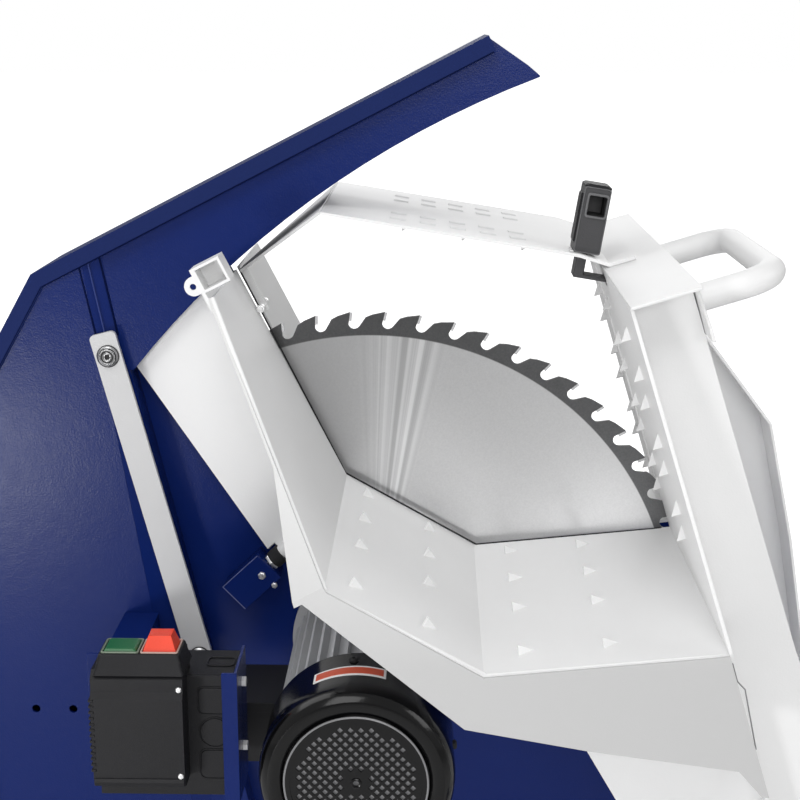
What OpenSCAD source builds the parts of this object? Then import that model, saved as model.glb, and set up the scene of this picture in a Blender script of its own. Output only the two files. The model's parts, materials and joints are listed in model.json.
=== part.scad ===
// Swing log saw: a fixed frame with motor, blade and guard, and a swinging cradle that holds the log.
// All modules are drawn round the blade's centre: X to the right, Y away from the operator, Z up.
// The whole machine is then set on the floor, over the middle of its four floor anchors.

/* [Blade] */
// Diameter of the blade over the tips
blade_d = 700; // [680:1:704]
// Thickness of the blade plate
blade_t = 3.2; // [2.4:0.1:4.4]
// Bore of the blade
blade_bore = 30; // [28:0.5:34]
// Number of teeth
tooth_count = 60; // [48:2:72]
// Depth of the tooth gullets
tooth_depth = 18; // [12:0.5:20]
// Width of a carbide tip across the plate
tip_w = 4.4; // [3.6:0.1:5.2]
// Angle of the first tip, seen from the front
tip_phase = 105.6; // [90:0.1:120]

/* [Arbor] */
// Radius of the motor shaft
shaft_r = 12; // [10:0.5:14]
// Radius of the clamping flanges
clamp_r = 60; // [45:1:70]
// Thickness of a clamping flange
clamp_t = 9; // [6:0.5:12]
// Width of the arbor nut across its flats
arbor_nut_w = 36; // [30:1:44]

/* [Motor] */
// Outer radius of the fan cover
fan_cover_r = 86; // [80:0.5:90]
// Front of the fan cover, ahead of the blade
motor_front = 358; // [345:1:372]
// Length of the fan cover
fan_cover_len = 84; // [70:1:95]
// Radius of the motor housing at the root of its fins
housing_r = 70; // [66:0.5:73]
// Height of the cooling fins
fin_h = 10; // [6:0.5:12]
// Number of cooling fins
fin_count = 36; // [24:2:48]
// Radius of the motor flange
motor_flange_r = 84; // [80:0.5:92]
// Radius of the bolt circle of the motor flange
motor_bolt_circle_r = 74; // [70:0.5:76]
// Thickness of the stator ring
stator_t = 20; // [14:0.5:24]
// Outer radius of the ball bearings
bearing_r = 26; // [22:0.5:28]
// Width of the ball bearings
bearing_w = 15; // [12:0.5:17]

/* [Guard] */
// Thickness of the blue sheet
guard_t = 3; // [2:0.25:4]
// Front face of the arm plate, ahead of the blade
arm_front = 60; // [56:0.5:66]
// Front face of the inner plate, ahead of the blade
inner_front = 30; // [26:0.5:34]
// Back face of the rear plate, behind the blade
guard_back = 60; // [50:1:72]
// Height of the pressed step between left panel and arm
joggle_h = 8; // [5:0.5:12]
// Width of that step between its two bends
joggle_w = 20; // [16:0.5:22]
// Lap of the rim strip over the front
rim_lap = 13; // [8:0.5:18]
// Radius of the arc under the arm, round the cradle pivot
arm_arc_r = 952; // [950:0.5:960]
// Left side of the guard, from the blade centre
guard_left = 420; // [400:1:440]
// Slope of the top edge of the guard
guard_slope = 27.07; // [25:0.1:28]

/* [Cradle] */
// Thickness of the white sheet
cradle_t = 3; // [2:0.25:4]
// Half of the slot that the blade passes through
slot_half = 12; // [9:0.5:15]
// Lowest corner of the trough, right of the blade centre
trough_low_x = 110; // [105:0.5:115]
// Lowest corner of the trough, above the blade centre
trough_low_z = 98; // [97:0.5:104]
// Length of the left floor panel
floor_left_len = 156.8; // [150:0.5:162]
// Length of the right floor panel
floor_right_len = 196; // [188:0.5:202]
// Length of the left wall
wall_left_len = 247; // [235:0.5:250]
// Length of the right wall
wall_right_len = 303; // [290:0.5:310]
// Reach of the trough ahead of the blade
trough_front = 350; // [340:1:360]
// Reach of the trough behind the blade
trough_back = 180; // [165:1:190]
// Width of the post below the cap
post_w = 62; // [54:0.5:68]
// Front face of the post's web, ahead of the blade
post_web_front = 268; // [262:0.5:276]

/* [Handle] */
// Diameter of the handle tube
handle_d = 25; // [20:0.5:28]
// Length of the handle between its legs
handle_len = 235; // [200:1:250]
// Reach of the handle from the post
handle_reach = 84; // [74:0.5:92]
// Bend radius of the handle
handle_bend_r = 30; // [26:0.5:34]

/* [Frame] */
// Height of the blade centre above the floor
axis_h = 650; // [630:1:680]
// Square size of the frame tubes
tube_w = 50; // [44:1:56]
// Wall of the frame tubes
tube_t = 3; // [2:0.25:5]
// Left end of the rails, from the blade centre
rail_left = 430; // [425:1:450]
// Right end of the rails, from the blade centre
rail_right = 560; // [550:1:580]
// Middle of the front rail, ahead of the blade
rail_front_y = 335; // [330:1:345]
// Middle of the rear rail, behind the blade
rail_rear_y = 245; // [240:1:255]
// Length of a foot plate along its rail
foot_w = 48; // [40:1:60]
// Thickness of a foot plate
foot_t = 6; // [4:0.5:10]
// Diameter of the floor anchor holes
anchor_d = 13; // [9:0.5:17]
// Distance from a rail's end to its anchor
foot_inset = 24; // [20:1:28]

/* [Pivot] */
// Cradle pivot, right of the blade centre
pivot_x = 500; // [496:0.5:504]
// Cradle pivot, below the blade centre
pivot_drop = 300; // [296:0.5:304]
// Radius of the pivot shaft
pivot_r = 15; // [12:0.5:17]
// Wall of the pivot tube
pivot_tube_t = 5; // [4:0.5:7]
// Wall of the pivot bushes
bush_t = 2.5; // [2:0.25:3]

/* [Wheels] */
// Radius of the wheels
wheel_r = 88; // [80:1:92]
// Width of the wheels
wheel_w = 40; // [34:1:46]
// Radius of the wheel axle
axle_r = 10; // [8:0.5:12]

/* [Switch] */
// Width of the switch box
switch_w = 122; // [112:1:128]
// Height of the switch box
switch_h = 117; // [110:1:122]
// Travel of the buttons
button_travel = 3; // [2:0.25:4]

/* [Hidden] */

$fn = 64;
// Gap between neighbouring pieces that are welded or bolted together
seat = 0.3;
// Radial clearance of running fits
run = 0.05;
// Small overlap that joins shapes within one piece
bite = 0.5;

pivot_z = -pivot_drop;
floor_z = -axis_h;
blade_r = blade_d / 2;
tooth_pitch = 360 / tooth_count;

// Corners of the trough's section, as [x, z], inner faces
floor_left_a = 150.2;
floor_right_a = 5.86;
wall_left_a = 117;
wall_right_a = 107.1;
fold_a = 8;
fold_len = 14;
corner_low = [trough_low_x, trough_low_z];
corner_left = step_to(corner_low, floor_left_a, floor_left_len);
wall_left_top = step_to(corner_left, wall_left_a, wall_left_len);
corner_right = step_to(corner_low, floor_right_a, floor_right_len);
corner_fold = step_to(corner_right, fold_a, fold_len);
wall_right_top = step_to(corner_fold, wall_right_a, wall_right_len);
trough_path = [wall_left_top, corner_left, corner_low, corner_right, corner_fold, wall_right_top];

function step_to(p, a, l) = [p[0] + l * cos(a), p[1] + l * sin(a)];
function unit(v) = v / norm(v);
function left_of(p, q) = [-unit(q - p)[1], unit(q - p)[0]];
function bend_normal(n1, n2) = (n1 + n2) / (1 + n1 * n2);
function normal_at(pts, i) =
    i == 0 ? left_of(pts[0], pts[1]) :
    i == len(pts) - 1 ? left_of(pts[i - 1], pts[i]) :
    bend_normal(left_of(pts[i - 1], pts[i]), left_of(pts[i], pts[i + 1]));
// Outline of a bent sheet: the given path, and the same path set off to its left by t
function sheet(pts, t) = concat(pts, [for (i = [len(pts) - 1:-1:0]) pts[i] + t * normal_at(pts, i)]);
function shifted(pts, t) = [for (i = [0:len(pts) - 1]) pts[i] + t * normal_at(pts, i)];

// Extrudes an outline in X and Z from y0 to y1
module prism_y(pts, y0, y1) {
    translate([0, y1, 0]) rotate([90, 0, 0]) linear_extrude(y1 - y0) polygon(pts);
}

module cyl_y(r, y0, y1, x = 0, z = 0) {
    translate([x, y1, z]) rotate([90, 0, 0]) cylinder(h = y1 - y0, r = r);
}

module box(x0, x1, y0, y1, z0, z1) {
    translate([x0, y0, z0]) cube([x1 - x0, y1 - y0, z1 - z0]);
}

// Local frame on a sloping panel: x along the panel, y across the machine, z to the left of its direction
module on_panel(p, a) {
    translate([p[0], 0, p[1]]) rotate([0, -a, 0]) children();
}

module on_floor() {
    translate([-(rail_right - rail_left) / 2, (rail_front_y - rail_rear_y) / 2, axis_h]) children();
}

// Blade and arbor

clamp_front = -blade_t / 2 - clamp_t;
arbor_r = blade_bore / 2;
arbor_len = 46;
collar_r = 20;

// Teeth as seen from the front: a long back, a round gullet and a leaning face, tip after tip
gullet_r = 6.4;
gullet_mid_r = blade_r - tooth_depth + gullet_r;
gullet_back = 3.66 / gullet_mid_r * 180 / PI;
gullet_steps = 6;
hook_a = 11;

function polar(r, a) = [r * cos(a), r * sin(a)];
function tooth(a) = concat(
    [polar(blade_r, a), polar(blade_r - 3.2, a + 0.36 * tooth_pitch),
        polar(blade_r - 0.34 * tooth_depth, a + 0.56 * tooth_pitch)],
    [for (k = [0:gullet_steps]) let (mid = a + tooth_pitch - gullet_back)
        polar(gullet_mid_r, mid) + polar(gullet_r, mid - 128 - 127 * k / gullet_steps)]);

module saw_blade() {
    color("silver") on_floor() rotate([90, 0, 0]) linear_extrude(blade_t, center = true) difference() {
        polygon([for (i = [0:tooth_count - 1]) each tooth(tip_phase + i * tooth_pitch)]);
        circle(r = arbor_r);
    }
}

module carbide_tips() {
    tip_len = 9;
    tip_deep = 2.6;
    color("gainsboro") on_floor() for (i = [0:tooth_count - 1])
        rotate([0, -(tip_phase + i * tooth_pitch), 0])
            translate([blade_r, 0, 0]) rotate([0, hook_a, 0])
                translate([-tip_len, -tip_w / 2, -tip_deep - 0.03]) cube([tip_len, tip_w, tip_deep]);
}

module inner_clamp_flange() {
    hub_len = inner_front - clamp_t - blade_t / 2 - seat;
    color("dimgray") on_floor() difference() {
        union() {
            cyl_y(clamp_r, clamp_front, -blade_t / 2);
            cyl_y(arbor_r - run, -blade_t / 2 - bite, blade_t / 2 + clamp_t - 2);
            cyl_y(collar_r + 6, clamp_front - hub_len, clamp_front + bite);
        }
        cyl_y(shaft_r + run, -motor_front, blade_t + 2 * clamp_t);
    }
}

module outer_clamp_flange() {
    color("dimgray") on_floor() difference() {
        cyl_y(clamp_r, blade_t / 2, blade_t / 2 + clamp_t);
        cyl_y(arbor_r, 0, arbor_len);
    }
}

module arbor_nut() {
    nut_h = 16;
    nut_y = blade_t / 2 + clamp_t;
    color("silver") on_floor() difference() {
        translate([0, nut_y + nut_h, 0]) rotate([90, 0, 0])
            cylinder(h = nut_h, r = arbor_nut_w / 2 / cos(30), $fn = 6);
        cyl_y(shaft_r + run, 0, nut_y + nut_h + 1);
    }
}

// Motor

flange_front = inner_front + 12;
shield_len = 34;
housing_back = flange_front + shield_len;
housing_front = motor_front - fan_cover_len + 14;
stator_r = housing_r - 7;
stator_front = housing_front - 26;
stator_back = housing_back + 18;
rotor_r = stator_r - stator_t - 0.6;
fan_shield_len = 22;
fan_cover_t = 2;
fan_back = housing_front + fan_shield_len + 4;
fan_front = fan_back + 22;
fan_bearing_y = housing_front + 4;
drive_bearing_y = flange_front + 10;

module motor_housing() {
    fin_t = 3;
    color("darkgray") on_floor() difference() {
        union() {
            cyl_y(housing_r, -housing_front, -housing_back);
            for (i = [0:fin_count - 1]) rotate([0, i * 360 / fin_count, 0])
                translate([housing_r - 2, 1 - housing_front, -fin_t / 2])
                    cube([fin_h + 2, housing_front - housing_back - 2, fin_t]);
        }
        cyl_y(stator_r, -housing_front - 1, -housing_back + 1);
    }
}

module motor_stator() {
    color("peru") on_floor() difference() {
        cyl_y(stator_r - run, -stator_front, -stator_back);
        cyl_y(stator_r - stator_t, -stator_front - 1, -stator_back + 1);
    }
}

// Bearing shield at the blade end, with the flange that bolts to the guard's inner plate
module motor_drive_shield() {
    color("darkgray") on_floor() difference() {
        union() {
            cyl_y(motor_flange_r, -flange_front, -inner_front - seat);
            cyl_y(housing_r + 4, -housing_back + seat, -flange_front + bite);
        }
        cyl_y(housing_r - 10, -housing_back - 1, -drive_bearing_y - bearing_w);
        cyl_y(bearing_r, -housing_back - 1, -drive_bearing_y);
        cyl_y(shaft_r + 4, -housing_back - 1, -inner_front + 1);
        motor_bolt_places() cylinder(h = 20, r = 4.5, center = true);
    }
}

module motor_bolt_places() {
    for (i = [0:3]) rotate([0, 45 + i * 90, 0]) translate([motor_bolt_circle_r, -inner_front - 8, 0])
        rotate([90, 0, 0]) children();
}

module motor_bolts() {
    head_h = 5.3;
    bolt_back = inner_front - guard_t;
    color("silver") on_floor() for (i = [0:3]) rotate([0, 45 + i * 90, 0])
        translate([motor_bolt_circle_r, 0, 0]) {
        translate([0, -bolt_back + head_h, 0]) rotate([90, 0, 0]) cylinder(h = head_h, r = 7.5, $fn = 6);
        cyl_y(4, -flange_front, -bolt_back + bite);
    }
}

module motor_fan_shield() {
    cover_in = fan_cover_r - fan_cover_t - seat;
    color("dimgray") on_floor() difference() {
        union() {
            cyl_y(housing_r + 4, -housing_front - fan_shield_len, -housing_front - seat);
            for (i = [0:3]) rotate([0, 45 + i * 90, 0])
                box(housing_r, cover_in, -housing_front - 16, -housing_front - 4, -6, 6);
        }
        cyl_y(housing_r - 10, -housing_front - 3, -housing_front + 1);
        cyl_y(bearing_r, -fan_bearing_y - bearing_w, -housing_front + 1);
        cyl_y(shaft_r + 4, -housing_front - 30, -housing_front + 1);
    }
}

module bearing_ring(y_back) {
    difference() {
        cyl_y(bearing_r - run, -y_back - bearing_w, -y_back);
        cyl_y(shaft_r + run, -y_back - bearing_w - 1, -y_back + 1);
    }
}

module motor_bearings() {
    color("silver") on_floor() {
        bearing_ring(fan_bearing_y);
        bearing_ring(drive_bearing_y);
    }
}

module motor_shaft() {
    shaft_front = fan_front + 2;
    shaft_back = blade_t / 2 + clamp_t + 24;
    color("silver") on_floor() cyl_y(shaft_r, -shaft_front, shaft_back);
}

module rotor_core() {
    color("slategray") on_floor() difference() {
        cyl_y(rotor_r, -stator_front + 4, -stator_back - 4);
        cyl_y(shaft_r + run / 5, -motor_front, 0);
    }
}

module cooling_fan() {
    blades = 8;
    color("black") on_floor() difference() {
        union() {
            cyl_y(22, -fan_front, -fan_back);
            cyl_y(62, -fan_back - 3, -fan_back);
            for (i = [0:blades - 1]) rotate([0, i * 360 / blades, 0])
                translate([15, -fan_front, -1.5]) cube([50, fan_front - fan_back, 3]);
        }
        cyl_y(shaft_r + run / 5, -motor_front, 0);
    }
}

// Domed cover with a perforated round grille in its middle
module fan_cover() {
    dome = 14;
    wall = fan_cover_t;
    rim = 4;
    grille_r = 58;
    back = motor_front - fan_cover_len;
    color("black") on_floor() translate([0, -back, 0]) rotate([90, 0, 0]) {
        rotate_extrude() difference() {
            union() {
                square([fan_cover_r - dome, fan_cover_len - rim]);
                square([fan_cover_r, fan_cover_len - rim - dome]);
                translate([fan_cover_r - dome, fan_cover_len - rim - dome]) circle(r = dome);
                square([grille_r + 5, fan_cover_len]);
            }
            translate([-1, -1]) square([fan_cover_r - dome + 1, fan_cover_len - rim - wall + 1]);
            translate([0, -1]) square([fan_cover_r - wall, fan_cover_len - rim - dome + 1]);
            translate([fan_cover_r - dome, fan_cover_len - rim - dome]) circle(r = dome - wall);
            translate([-1, -2]) square([grille_r + 1, fan_cover_len + 4]);
        }
        translate([0, 0, fan_cover_len - 3]) linear_extrude(wall) grille(grille_r + 1 + bite);
    }
}

// Square holes in a diagonal grid round a plain centre with one small hole
module grille(r) {
    hole = 4.2;
    pitch = 6.4;
    rows = 8;
    plain_r = 13;
    difference() {
        circle(r = r);
        circle(r = 3);
        for (i = [-rows:rows], j = [-rows:rows])
            if (norm([i, j]) * pitch > plain_r && norm([i, j]) * pitch < r - 7)
                rotate(45) translate([i * pitch, j * pitch]) square(hole, center = true);
    }
}

module terminal_box() {
    lid_t = 8;
    x1 = -housing_r - fin_h - seat;
    x0 = x1 - 58;
    color("dimgray") on_floor() {
        box(x0, x1, -205, -125, -60, 3 - bite);
        box(x0 - 3, x1, -210, -120, 3 - lid_t, 5);
    }
}

// Guard

guard_corner = [-334, arm_arc_r - 555];
guard_shoulder = [-guard_left, guard_corner[1] - (guard_left + guard_corner[0]) * tan(60)];
guard_tip = [pivot_x, pivot_z] + polar(arm_arc_r + 1, 110.45);
guard_tip_top = top_edge(guard_tip[0] - 49);
guard_foot_z = floor_z + foot_t + 2 * tube_w;
guard_right = 375;
panel_gap = 14;
// Slope, in X per Z, of the pressed step and of the folded step behind the support bar
joggle_slope = -0.158;
fold_slope = -0.2255;
joggle_top_x = -288;
arc_start = [pivot_x, pivot_z] + polar(arm_arc_r + 3, 141.08);
step_foot_x = arc_start[0] + fold_slope * (guard_foot_z - arc_start[1]);
joggle_foot_x = joggle_top_x + joggle_slope * (guard_foot_z - guard_corner[1]);
joggle_run = [joggle_foot_x - joggle_top_x, guard_foot_z - top_edge(joggle_top_x)[1]];
joggle_a = atan2(joggle_run[0], -joggle_run[1]);
joggle_wide = joggle_w / cos(joggle_a);
bend_lap = 0.6;

function top_edge(x) = [x, guard_corner[1] + (x - guard_corner[0]) * tan(guard_slope)];

// Left panel, standing proud by the height of the step
module left_panel_outline() {
    polygon([guard_corner, top_edge(joggle_top_x + bend_lap), [joggle_foot_x + bend_lap, guard_foot_z],
        [-guard_left, guard_foot_z], guard_shoulder]);
}

// Strip of the pressed step, between the left panel and the arm
module joggle_outline() {
    polygon([top_edge(joggle_top_x - bite), top_edge(joggle_top_x + joggle_wide + bite),
        [joggle_foot_x + joggle_wide + bite, guard_foot_z], [joggle_foot_x - bite, guard_foot_z]]);
}

// Arm and the strip under it, down to the frame
module arm_outline() {
    difference() {
        polygon([top_edge(joggle_top_x + joggle_wide - bend_lap), guard_tip_top, guard_tip + [-12, 10],
            guard_tip, guard_tip + [-4, -8],
            [140, 400], [-150, 300], arc_start, [step_foot_x, guard_foot_z],
            [joggle_foot_x + joggle_wide - bend_lap, guard_foot_z]]);
        arm_arc_cut();
    }
}

module arm_arc_cut() {
    intersection() {
        translate([pivot_x, pivot_z]) circle(r = arm_arc_r, $fn = 360);
        polygon([arc_start, arc_start + [0, 400], arc_start + [643, 400], arc_start + [643, -250],
            [-100, 0]]);
    }
}

// Inner plate next to the blade: its edge runs along the cradle's left wall and floor, one gap away
module inner_outline() {
    edge = shifted([wall_left_top, corner_left, corner_low, corner_right], -cradle_t - panel_gap);
    polygon([[step_foot_x, guard_foot_z], arc_start, arc_start + [-4, 26], edge[0], edge[1], edge[2],
        [guard_right, edge[2][1] + (guard_right - edge[2][0]) * tan(floor_right_a)],
        [guard_right, guard_foot_z]]);
}

module guard_slab(y_front, t = guard_t) {
    translate([0, -y_front + t, 0]) rotate([90, 0, 0]) linear_extrude(t) children();
}

module guard_front_plate() {
    color("navy") on_floor() difference() {
        union() {
            guard_slab(arm_front + joggle_h) left_panel_outline();
            guard_slab(arm_front) arm_outline();
            guard_slab(inner_front) inner_outline();
            joggle_web();
            fold_web();
            foot_flange();
        }
        cyl_y(collar_r + 12, -100, 0);
        for (i = [0:3]) rotate([0, 45 + i * 90, 0]) cyl_y(4.5, -100, 0, motor_bolt_circle_r, 0);
        for (x = [-359, -319]) cyl_y(4.5, -100, -arm_front + 1, x, -72);
        cyl_y(bar_bolt_r + seat, -100, -arm_front + guard_t + 1, bar_top[0], bar_top[1]);
    }
}

// Sloping web of the pressed step, sunk a little into the flat sheet at both of its bends
module joggle_web() {
    top = top_edge(joggle_top_x);
    y0 = -arm_front - joggle_h;
    y1 = -arm_front;
    t = guard_t;
    sunk = 0.1;
    low = norm(joggle_run) + joggle_w;
    intersection() {
        translate([top[0], 0, top[1]]) rotate([0, -joggle_a, 0])
            translate([0, 0, -low]) linear_extrude(low + joggle_w)
                polygon([[-t, y0 + t / 3], [0, y0 + sunk], [joggle_w, y1 + sunk],
                    [joggle_w + t, y1 + t / 3], [joggle_w + t, y1 + t * 2 / 3],
                    [joggle_w, y1 + t - sunk], [0, y0 + t - sunk], [-t, y0 + t * 2 / 3]]);
        guard_slab(arm_front + joggle_h + 1, joggle_h + t + 2) joggle_outline();
    }
}

module fold_web() {
    prism_y([arc_start, [step_foot_x, guard_foot_z], [step_foot_x - guard_t, guard_foot_z],
        arc_start + [-guard_t, 0]], -arm_front, -inner_front + guard_t);
}

module foot_flange() {
    box(step_foot_x, guard_right, -inner_front, -inner_front + 40, guard_foot_z, guard_foot_z + guard_t);
}

module guard_rear_plate() {
    color("navy") on_floor() difference() {
        union() {
            guard_slab(-guard_back + guard_t) {
                left_panel_outline();
                joggle_outline();
                arm_outline();
                inner_outline();
            }
            box(-guard_left, guard_right, guard_back - 40, guard_back, guard_foot_z,
                guard_foot_z + guard_t);
        }
        cyl_y(arbor_nut_w, 0, guard_back + 1);
    }
}

// Strip that joins both plates along the top and the left side, lapped over the front plate
module guard_rim() {
    outer = [guard_tip_top, guard_corner, guard_shoulder, [-guard_left, guard_foot_z]];
    lap = shifted(outer, rim_lap);
    y0 = -arm_front - joggle_h - seat;
    color("navy") on_floor() {
        prism_y(sheet(shifted(outer, -seat), -guard_t), y0 - guard_t, guard_back);
        prism_y(concat(shifted(outer, -seat - bite), [for (i = [3:-1:0]) lap[i]]), y0 - guard_t, y0);
    }
}

// Frame

rail_z0 = floor_z + foot_t;
cross_z0 = rail_z0 + tube_w;
cross_left_x = -300;
cross_middle_x = 150;
post_x = pivot_x;
anchor_x = [-rail_left + foot_inset, rail_right - foot_inset];
anchor_in = tube_w / 2 + 22;
anchor_y = [-rail_front_y + anchor_in, rail_rear_y - anchor_in];
rail_y = [-rail_front_y, rail_rear_y];

module tube_x(x0, x1, y, z0) {
    difference() {
        box(x0, x1, y - tube_w / 2, y + tube_w / 2, z0, z0 + tube_w);
        box(x0 - 1, x1 + 1, y - tube_w / 2 + tube_t, y + tube_w / 2 - tube_t, z0 + tube_t,
            z0 + tube_w - tube_t);
    }
}

module tube_y(x, z0) {
    difference() {
        box(x - tube_w / 2, x + tube_w / 2, -rail_front_y - tube_w / 2, rail_rear_y + tube_w / 2, z0,
            z0 + tube_w);
        box(x - tube_w / 2 + tube_t, x + tube_w / 2 - tube_t, -rail_front_y - tube_w / 2 - 1,
            rail_rear_y + tube_w / 2 + 1, z0 + tube_t, z0 + tube_w - tube_t);
    }
}

module rail_front() {
    color("navy") on_floor() tube_x(-rail_left, rail_right, -rail_front_y, rail_z0);
}

module rail_rear() {
    color("navy") on_floor() tube_x(-rail_left, rail_right, rail_rear_y, rail_z0);
}

module rail_end_caps() {
    cap_t = 3;
    plug = 12;
    color("black") on_floor() for (y = rail_y, s = [-1, 1]) {
        x = s < 0 ? -rail_left : rail_right;
        translate([x + s * (cap_t / 2 + 0.05), y, rail_z0 + tube_w / 2])
            cube([cap_t, tube_w, tube_w], center = true);
        translate([x - s * plug / 2, y, rail_z0 + tube_w / 2])
            cube([plug + 1, tube_w - 2 * tube_t - 0.4, tube_w - 2 * tube_t - 0.4], center = true);
    }
}

module crossbar_left() {
    color("navy") on_floor() tube_y(cross_left_x, cross_z0);
}

module crossbar_middle() {
    color("navy") on_floor() tube_y(cross_middle_x, cross_z0);
}

module crossbar_right() {
    color("navy") on_floor() tube_y(post_x, cross_z0);
}

module pivot_post(y) {
    top = pivot_z + 34;
    difference() {
        box(post_x - tube_w / 2, post_x + tube_w / 2, y - tube_w / 2, y + tube_w / 2,
            cross_z0 + tube_w + seat, top);
        box(post_x - tube_w / 2 + tube_t, post_x + tube_w / 2 - tube_t, y - tube_w / 2 + tube_t,
            y + tube_w / 2 - tube_t, cross_z0 + tube_w - 1, top - tube_t);
        cyl_y(pivot_r + run, y - tube_w, y + tube_w, pivot_x, pivot_z);
    }
}

module pivot_post_front() {
    color("navy") on_floor() pivot_post(-rail_front_y);
}

module pivot_post_rear() {
    color("navy") on_floor() pivot_post(rail_rear_y);
}

module floor_feet() {
    out = tube_w + 22;
    in = 22;
    color("navy") on_floor() for (x = anchor_x, i = [0, 1]) translate([x, anchor_y[i], floor_z])
        difference() {
        mirror([0, i, 0]) box(-foot_w / 2, foot_w / 2, -out, in, 0, foot_t);
        translate([0, 0, -1]) cylinder(h = foot_t + 2, r = anchor_d / 2);
    }
}

// Wheels, clear of the floor until the machine is tipped onto them

axle_x = -rail_left + 60;
axle_z = floor_z + wheel_r + 3;
hub_r = 24;
tyre_t = 28;

module axle_brackets() {
    bracket_t = 5;
    color("navy") on_floor() for (y = [-rail_front_y + tube_w / 2 - bracket_t,
        rail_rear_y - tube_w / 2]) difference() {
        box(axle_x - 22, axle_x + 22, y, y + bracket_t, cross_z0 + seat, axle_z + axle_r + 14);
        cyl_y(axle_r + run, y - 1, y + bracket_t + 1, axle_x, axle_z);
    }
}

wheel_in = tube_w / 2 + 12;
wheel_front_y = -rail_front_y - wheel_in - wheel_w;
wheel_rear_y = rail_rear_y + wheel_in;

module wheel_axle() {
    color("silver") on_floor()
        cyl_y(axle_r, wheel_front_y - 14, wheel_rear_y + wheel_w + 14, axle_x, axle_z);
}

module hub(y0) {
    rim_r = wheel_r - tyre_t;
    spokes = 6;
    difference() {
        union() {
            cyl_y(hub_r, y0, y0 + wheel_w, axle_x, axle_z);
            translate([axle_x, 0, axle_z]) for (i = [0:spokes - 1]) rotate([0, i * 360 / spokes, 0])
                box(hub_r - 4, rim_r - 2, y0 + 8, y0 + wheel_w - 8, -5, 5);
            difference() {
                cyl_y(rim_r, y0 + 3, y0 + wheel_w - 3, axle_x, axle_z);
                cyl_y(rim_r - 5, y0, y0 + wheel_w, axle_x, axle_z);
            }
        }
        cyl_y(axle_r + run, y0 - 1, y0 + wheel_w + 1, axle_x, axle_z);
    }
}

module tyre(y0) {
    edge = 9;
    translate([axle_x, y0 + wheel_w, axle_z]) rotate([90, 0, 0]) rotate_extrude() difference() {
        union() {
            translate([wheel_r - tyre_t + 0.05, 3]) square([tyre_t - edge, wheel_w - 6]);
            translate([wheel_r - tyre_t + 4, edge]) square([tyre_t - 4, wheel_w - 2 * edge]);
            for (z = [edge, wheel_w - edge]) translate([wheel_r - edge, z]) circle(r = edge, $fn = 32);
        }
        translate([0, -1]) square([wheel_r - tyre_t + 0.05, wheel_w + 2]);
    }
}

module wheel_front_hub() {
    color("dimgray") on_floor() hub(wheel_front_y);
}

module wheel_front_tyre() {
    color("black") on_floor() tyre(wheel_front_y);
}

module wheel_rear_hub() {
    color("dimgray") on_floor() hub(wheel_rear_y);
}

module wheel_rear_tyre() {
    color("black") on_floor() tyre(wheel_rear_y);
}

module axle_collars() {
    collar_w = 6;
    color("silver") on_floor() for (y = [wheel_front_y - collar_w - seat, wheel_front_y + wheel_w + seat,
        wheel_rear_y - collar_w - seat, wheel_rear_y + wheel_w + seat]) difference() {
            cyl_y(axle_r + 7, y, y + collar_w, axle_x, axle_z);
            cyl_y(axle_r + run / 5, y - 1, y + collar_w + 1, axle_x, axle_z);
        }
}

// Support bar: a cranked flat bar, bolted to the guard at both ends

bar_w = 27;
bar_t = 5;
bar_top = [-262, 317];
bar_low = [-180, -8];
bar_a = atan2(bar_top[1] - bar_low[1], bar_top[0] - bar_low[0]);
bar_len = norm(bar_top - bar_low);
bar_back = arm_front + joggle_h + seat;
bar_bolt_r = 6;

module rounded_strip(x0, x1, w, r) {
    translate([x0, r - w / 2]) square([x1 - x0, w - 2 * r]);
    translate([x0 + r, -w / 2]) square([x1 - x0 - 2 * r, w]);
    for (x = [x0 + r, x1 - r], y = [r - w / 2, w / 2 - r]) translate([x, y]) circle(r = r);
}

module support_bar() {
    color("whitesmoke") on_floor() difference() {
        translate([0, -bar_back, 0]) rotate([90, 0, 0]) linear_extrude(bar_t) translate(bar_low)
            rotate(bar_a)
            rounded_strip(-14, bar_len + 24, bar_w, 5);
        for (p = [bar_top, bar_low])
            cyl_y(bar_bolt_r + run, -bar_back - bar_t - 1, -bar_back + 1, p[0], p[1]);
    }
}

// Round head bolts of the bar: the upper one goes through the guard to a nut, the lower one has a spacer
module support_bar_bolts() {
    head = -bar_back - bar_t;
    washer_r = bar_bolt_r + 4;
    nut_y = -arm_front + guard_t + seat;
    ends = [[bar_top, nut_y + 6], [bar_low, -arm_front - seat]];
    color("silver") on_floor() for (e = ends) translate([e[0][0], 0, e[0][1]]) difference() {
        union() {
            cyl_y(bar_bolt_r, head - bite, e[1]);
            cyl_y(bar_bolt_r + 2, head - 5, head - seat);
            cyl_y(washer_r, head - 1.5, head - seat);
            if (e[0] == bar_low) cyl_y(bar_bolt_r + 1.5, -bar_back + seat, e[1]);
            if (e[0] == bar_top) translate([0, e[1], 0]) rotate([90, 0, 0])
                cylinder(h = 6, r = washer_r, $fn = 6);
        }
        translate([0, head - 2, 0]) rotate([90, 0, 0]) cylinder(h = 5, r = 3.2, $fn = 6);
    }
}

// Buffer that the cradle rests on

buffer_a = 43.8;
buffer_front = arm_front;
buffer_y = -(buffer_front + inner_front) / 2 - 4;
buffer_at = [-105.5, 89];
buffer_nut_t = 5;
buffer_len = 12.3;
buffer_r = 10;

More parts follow.
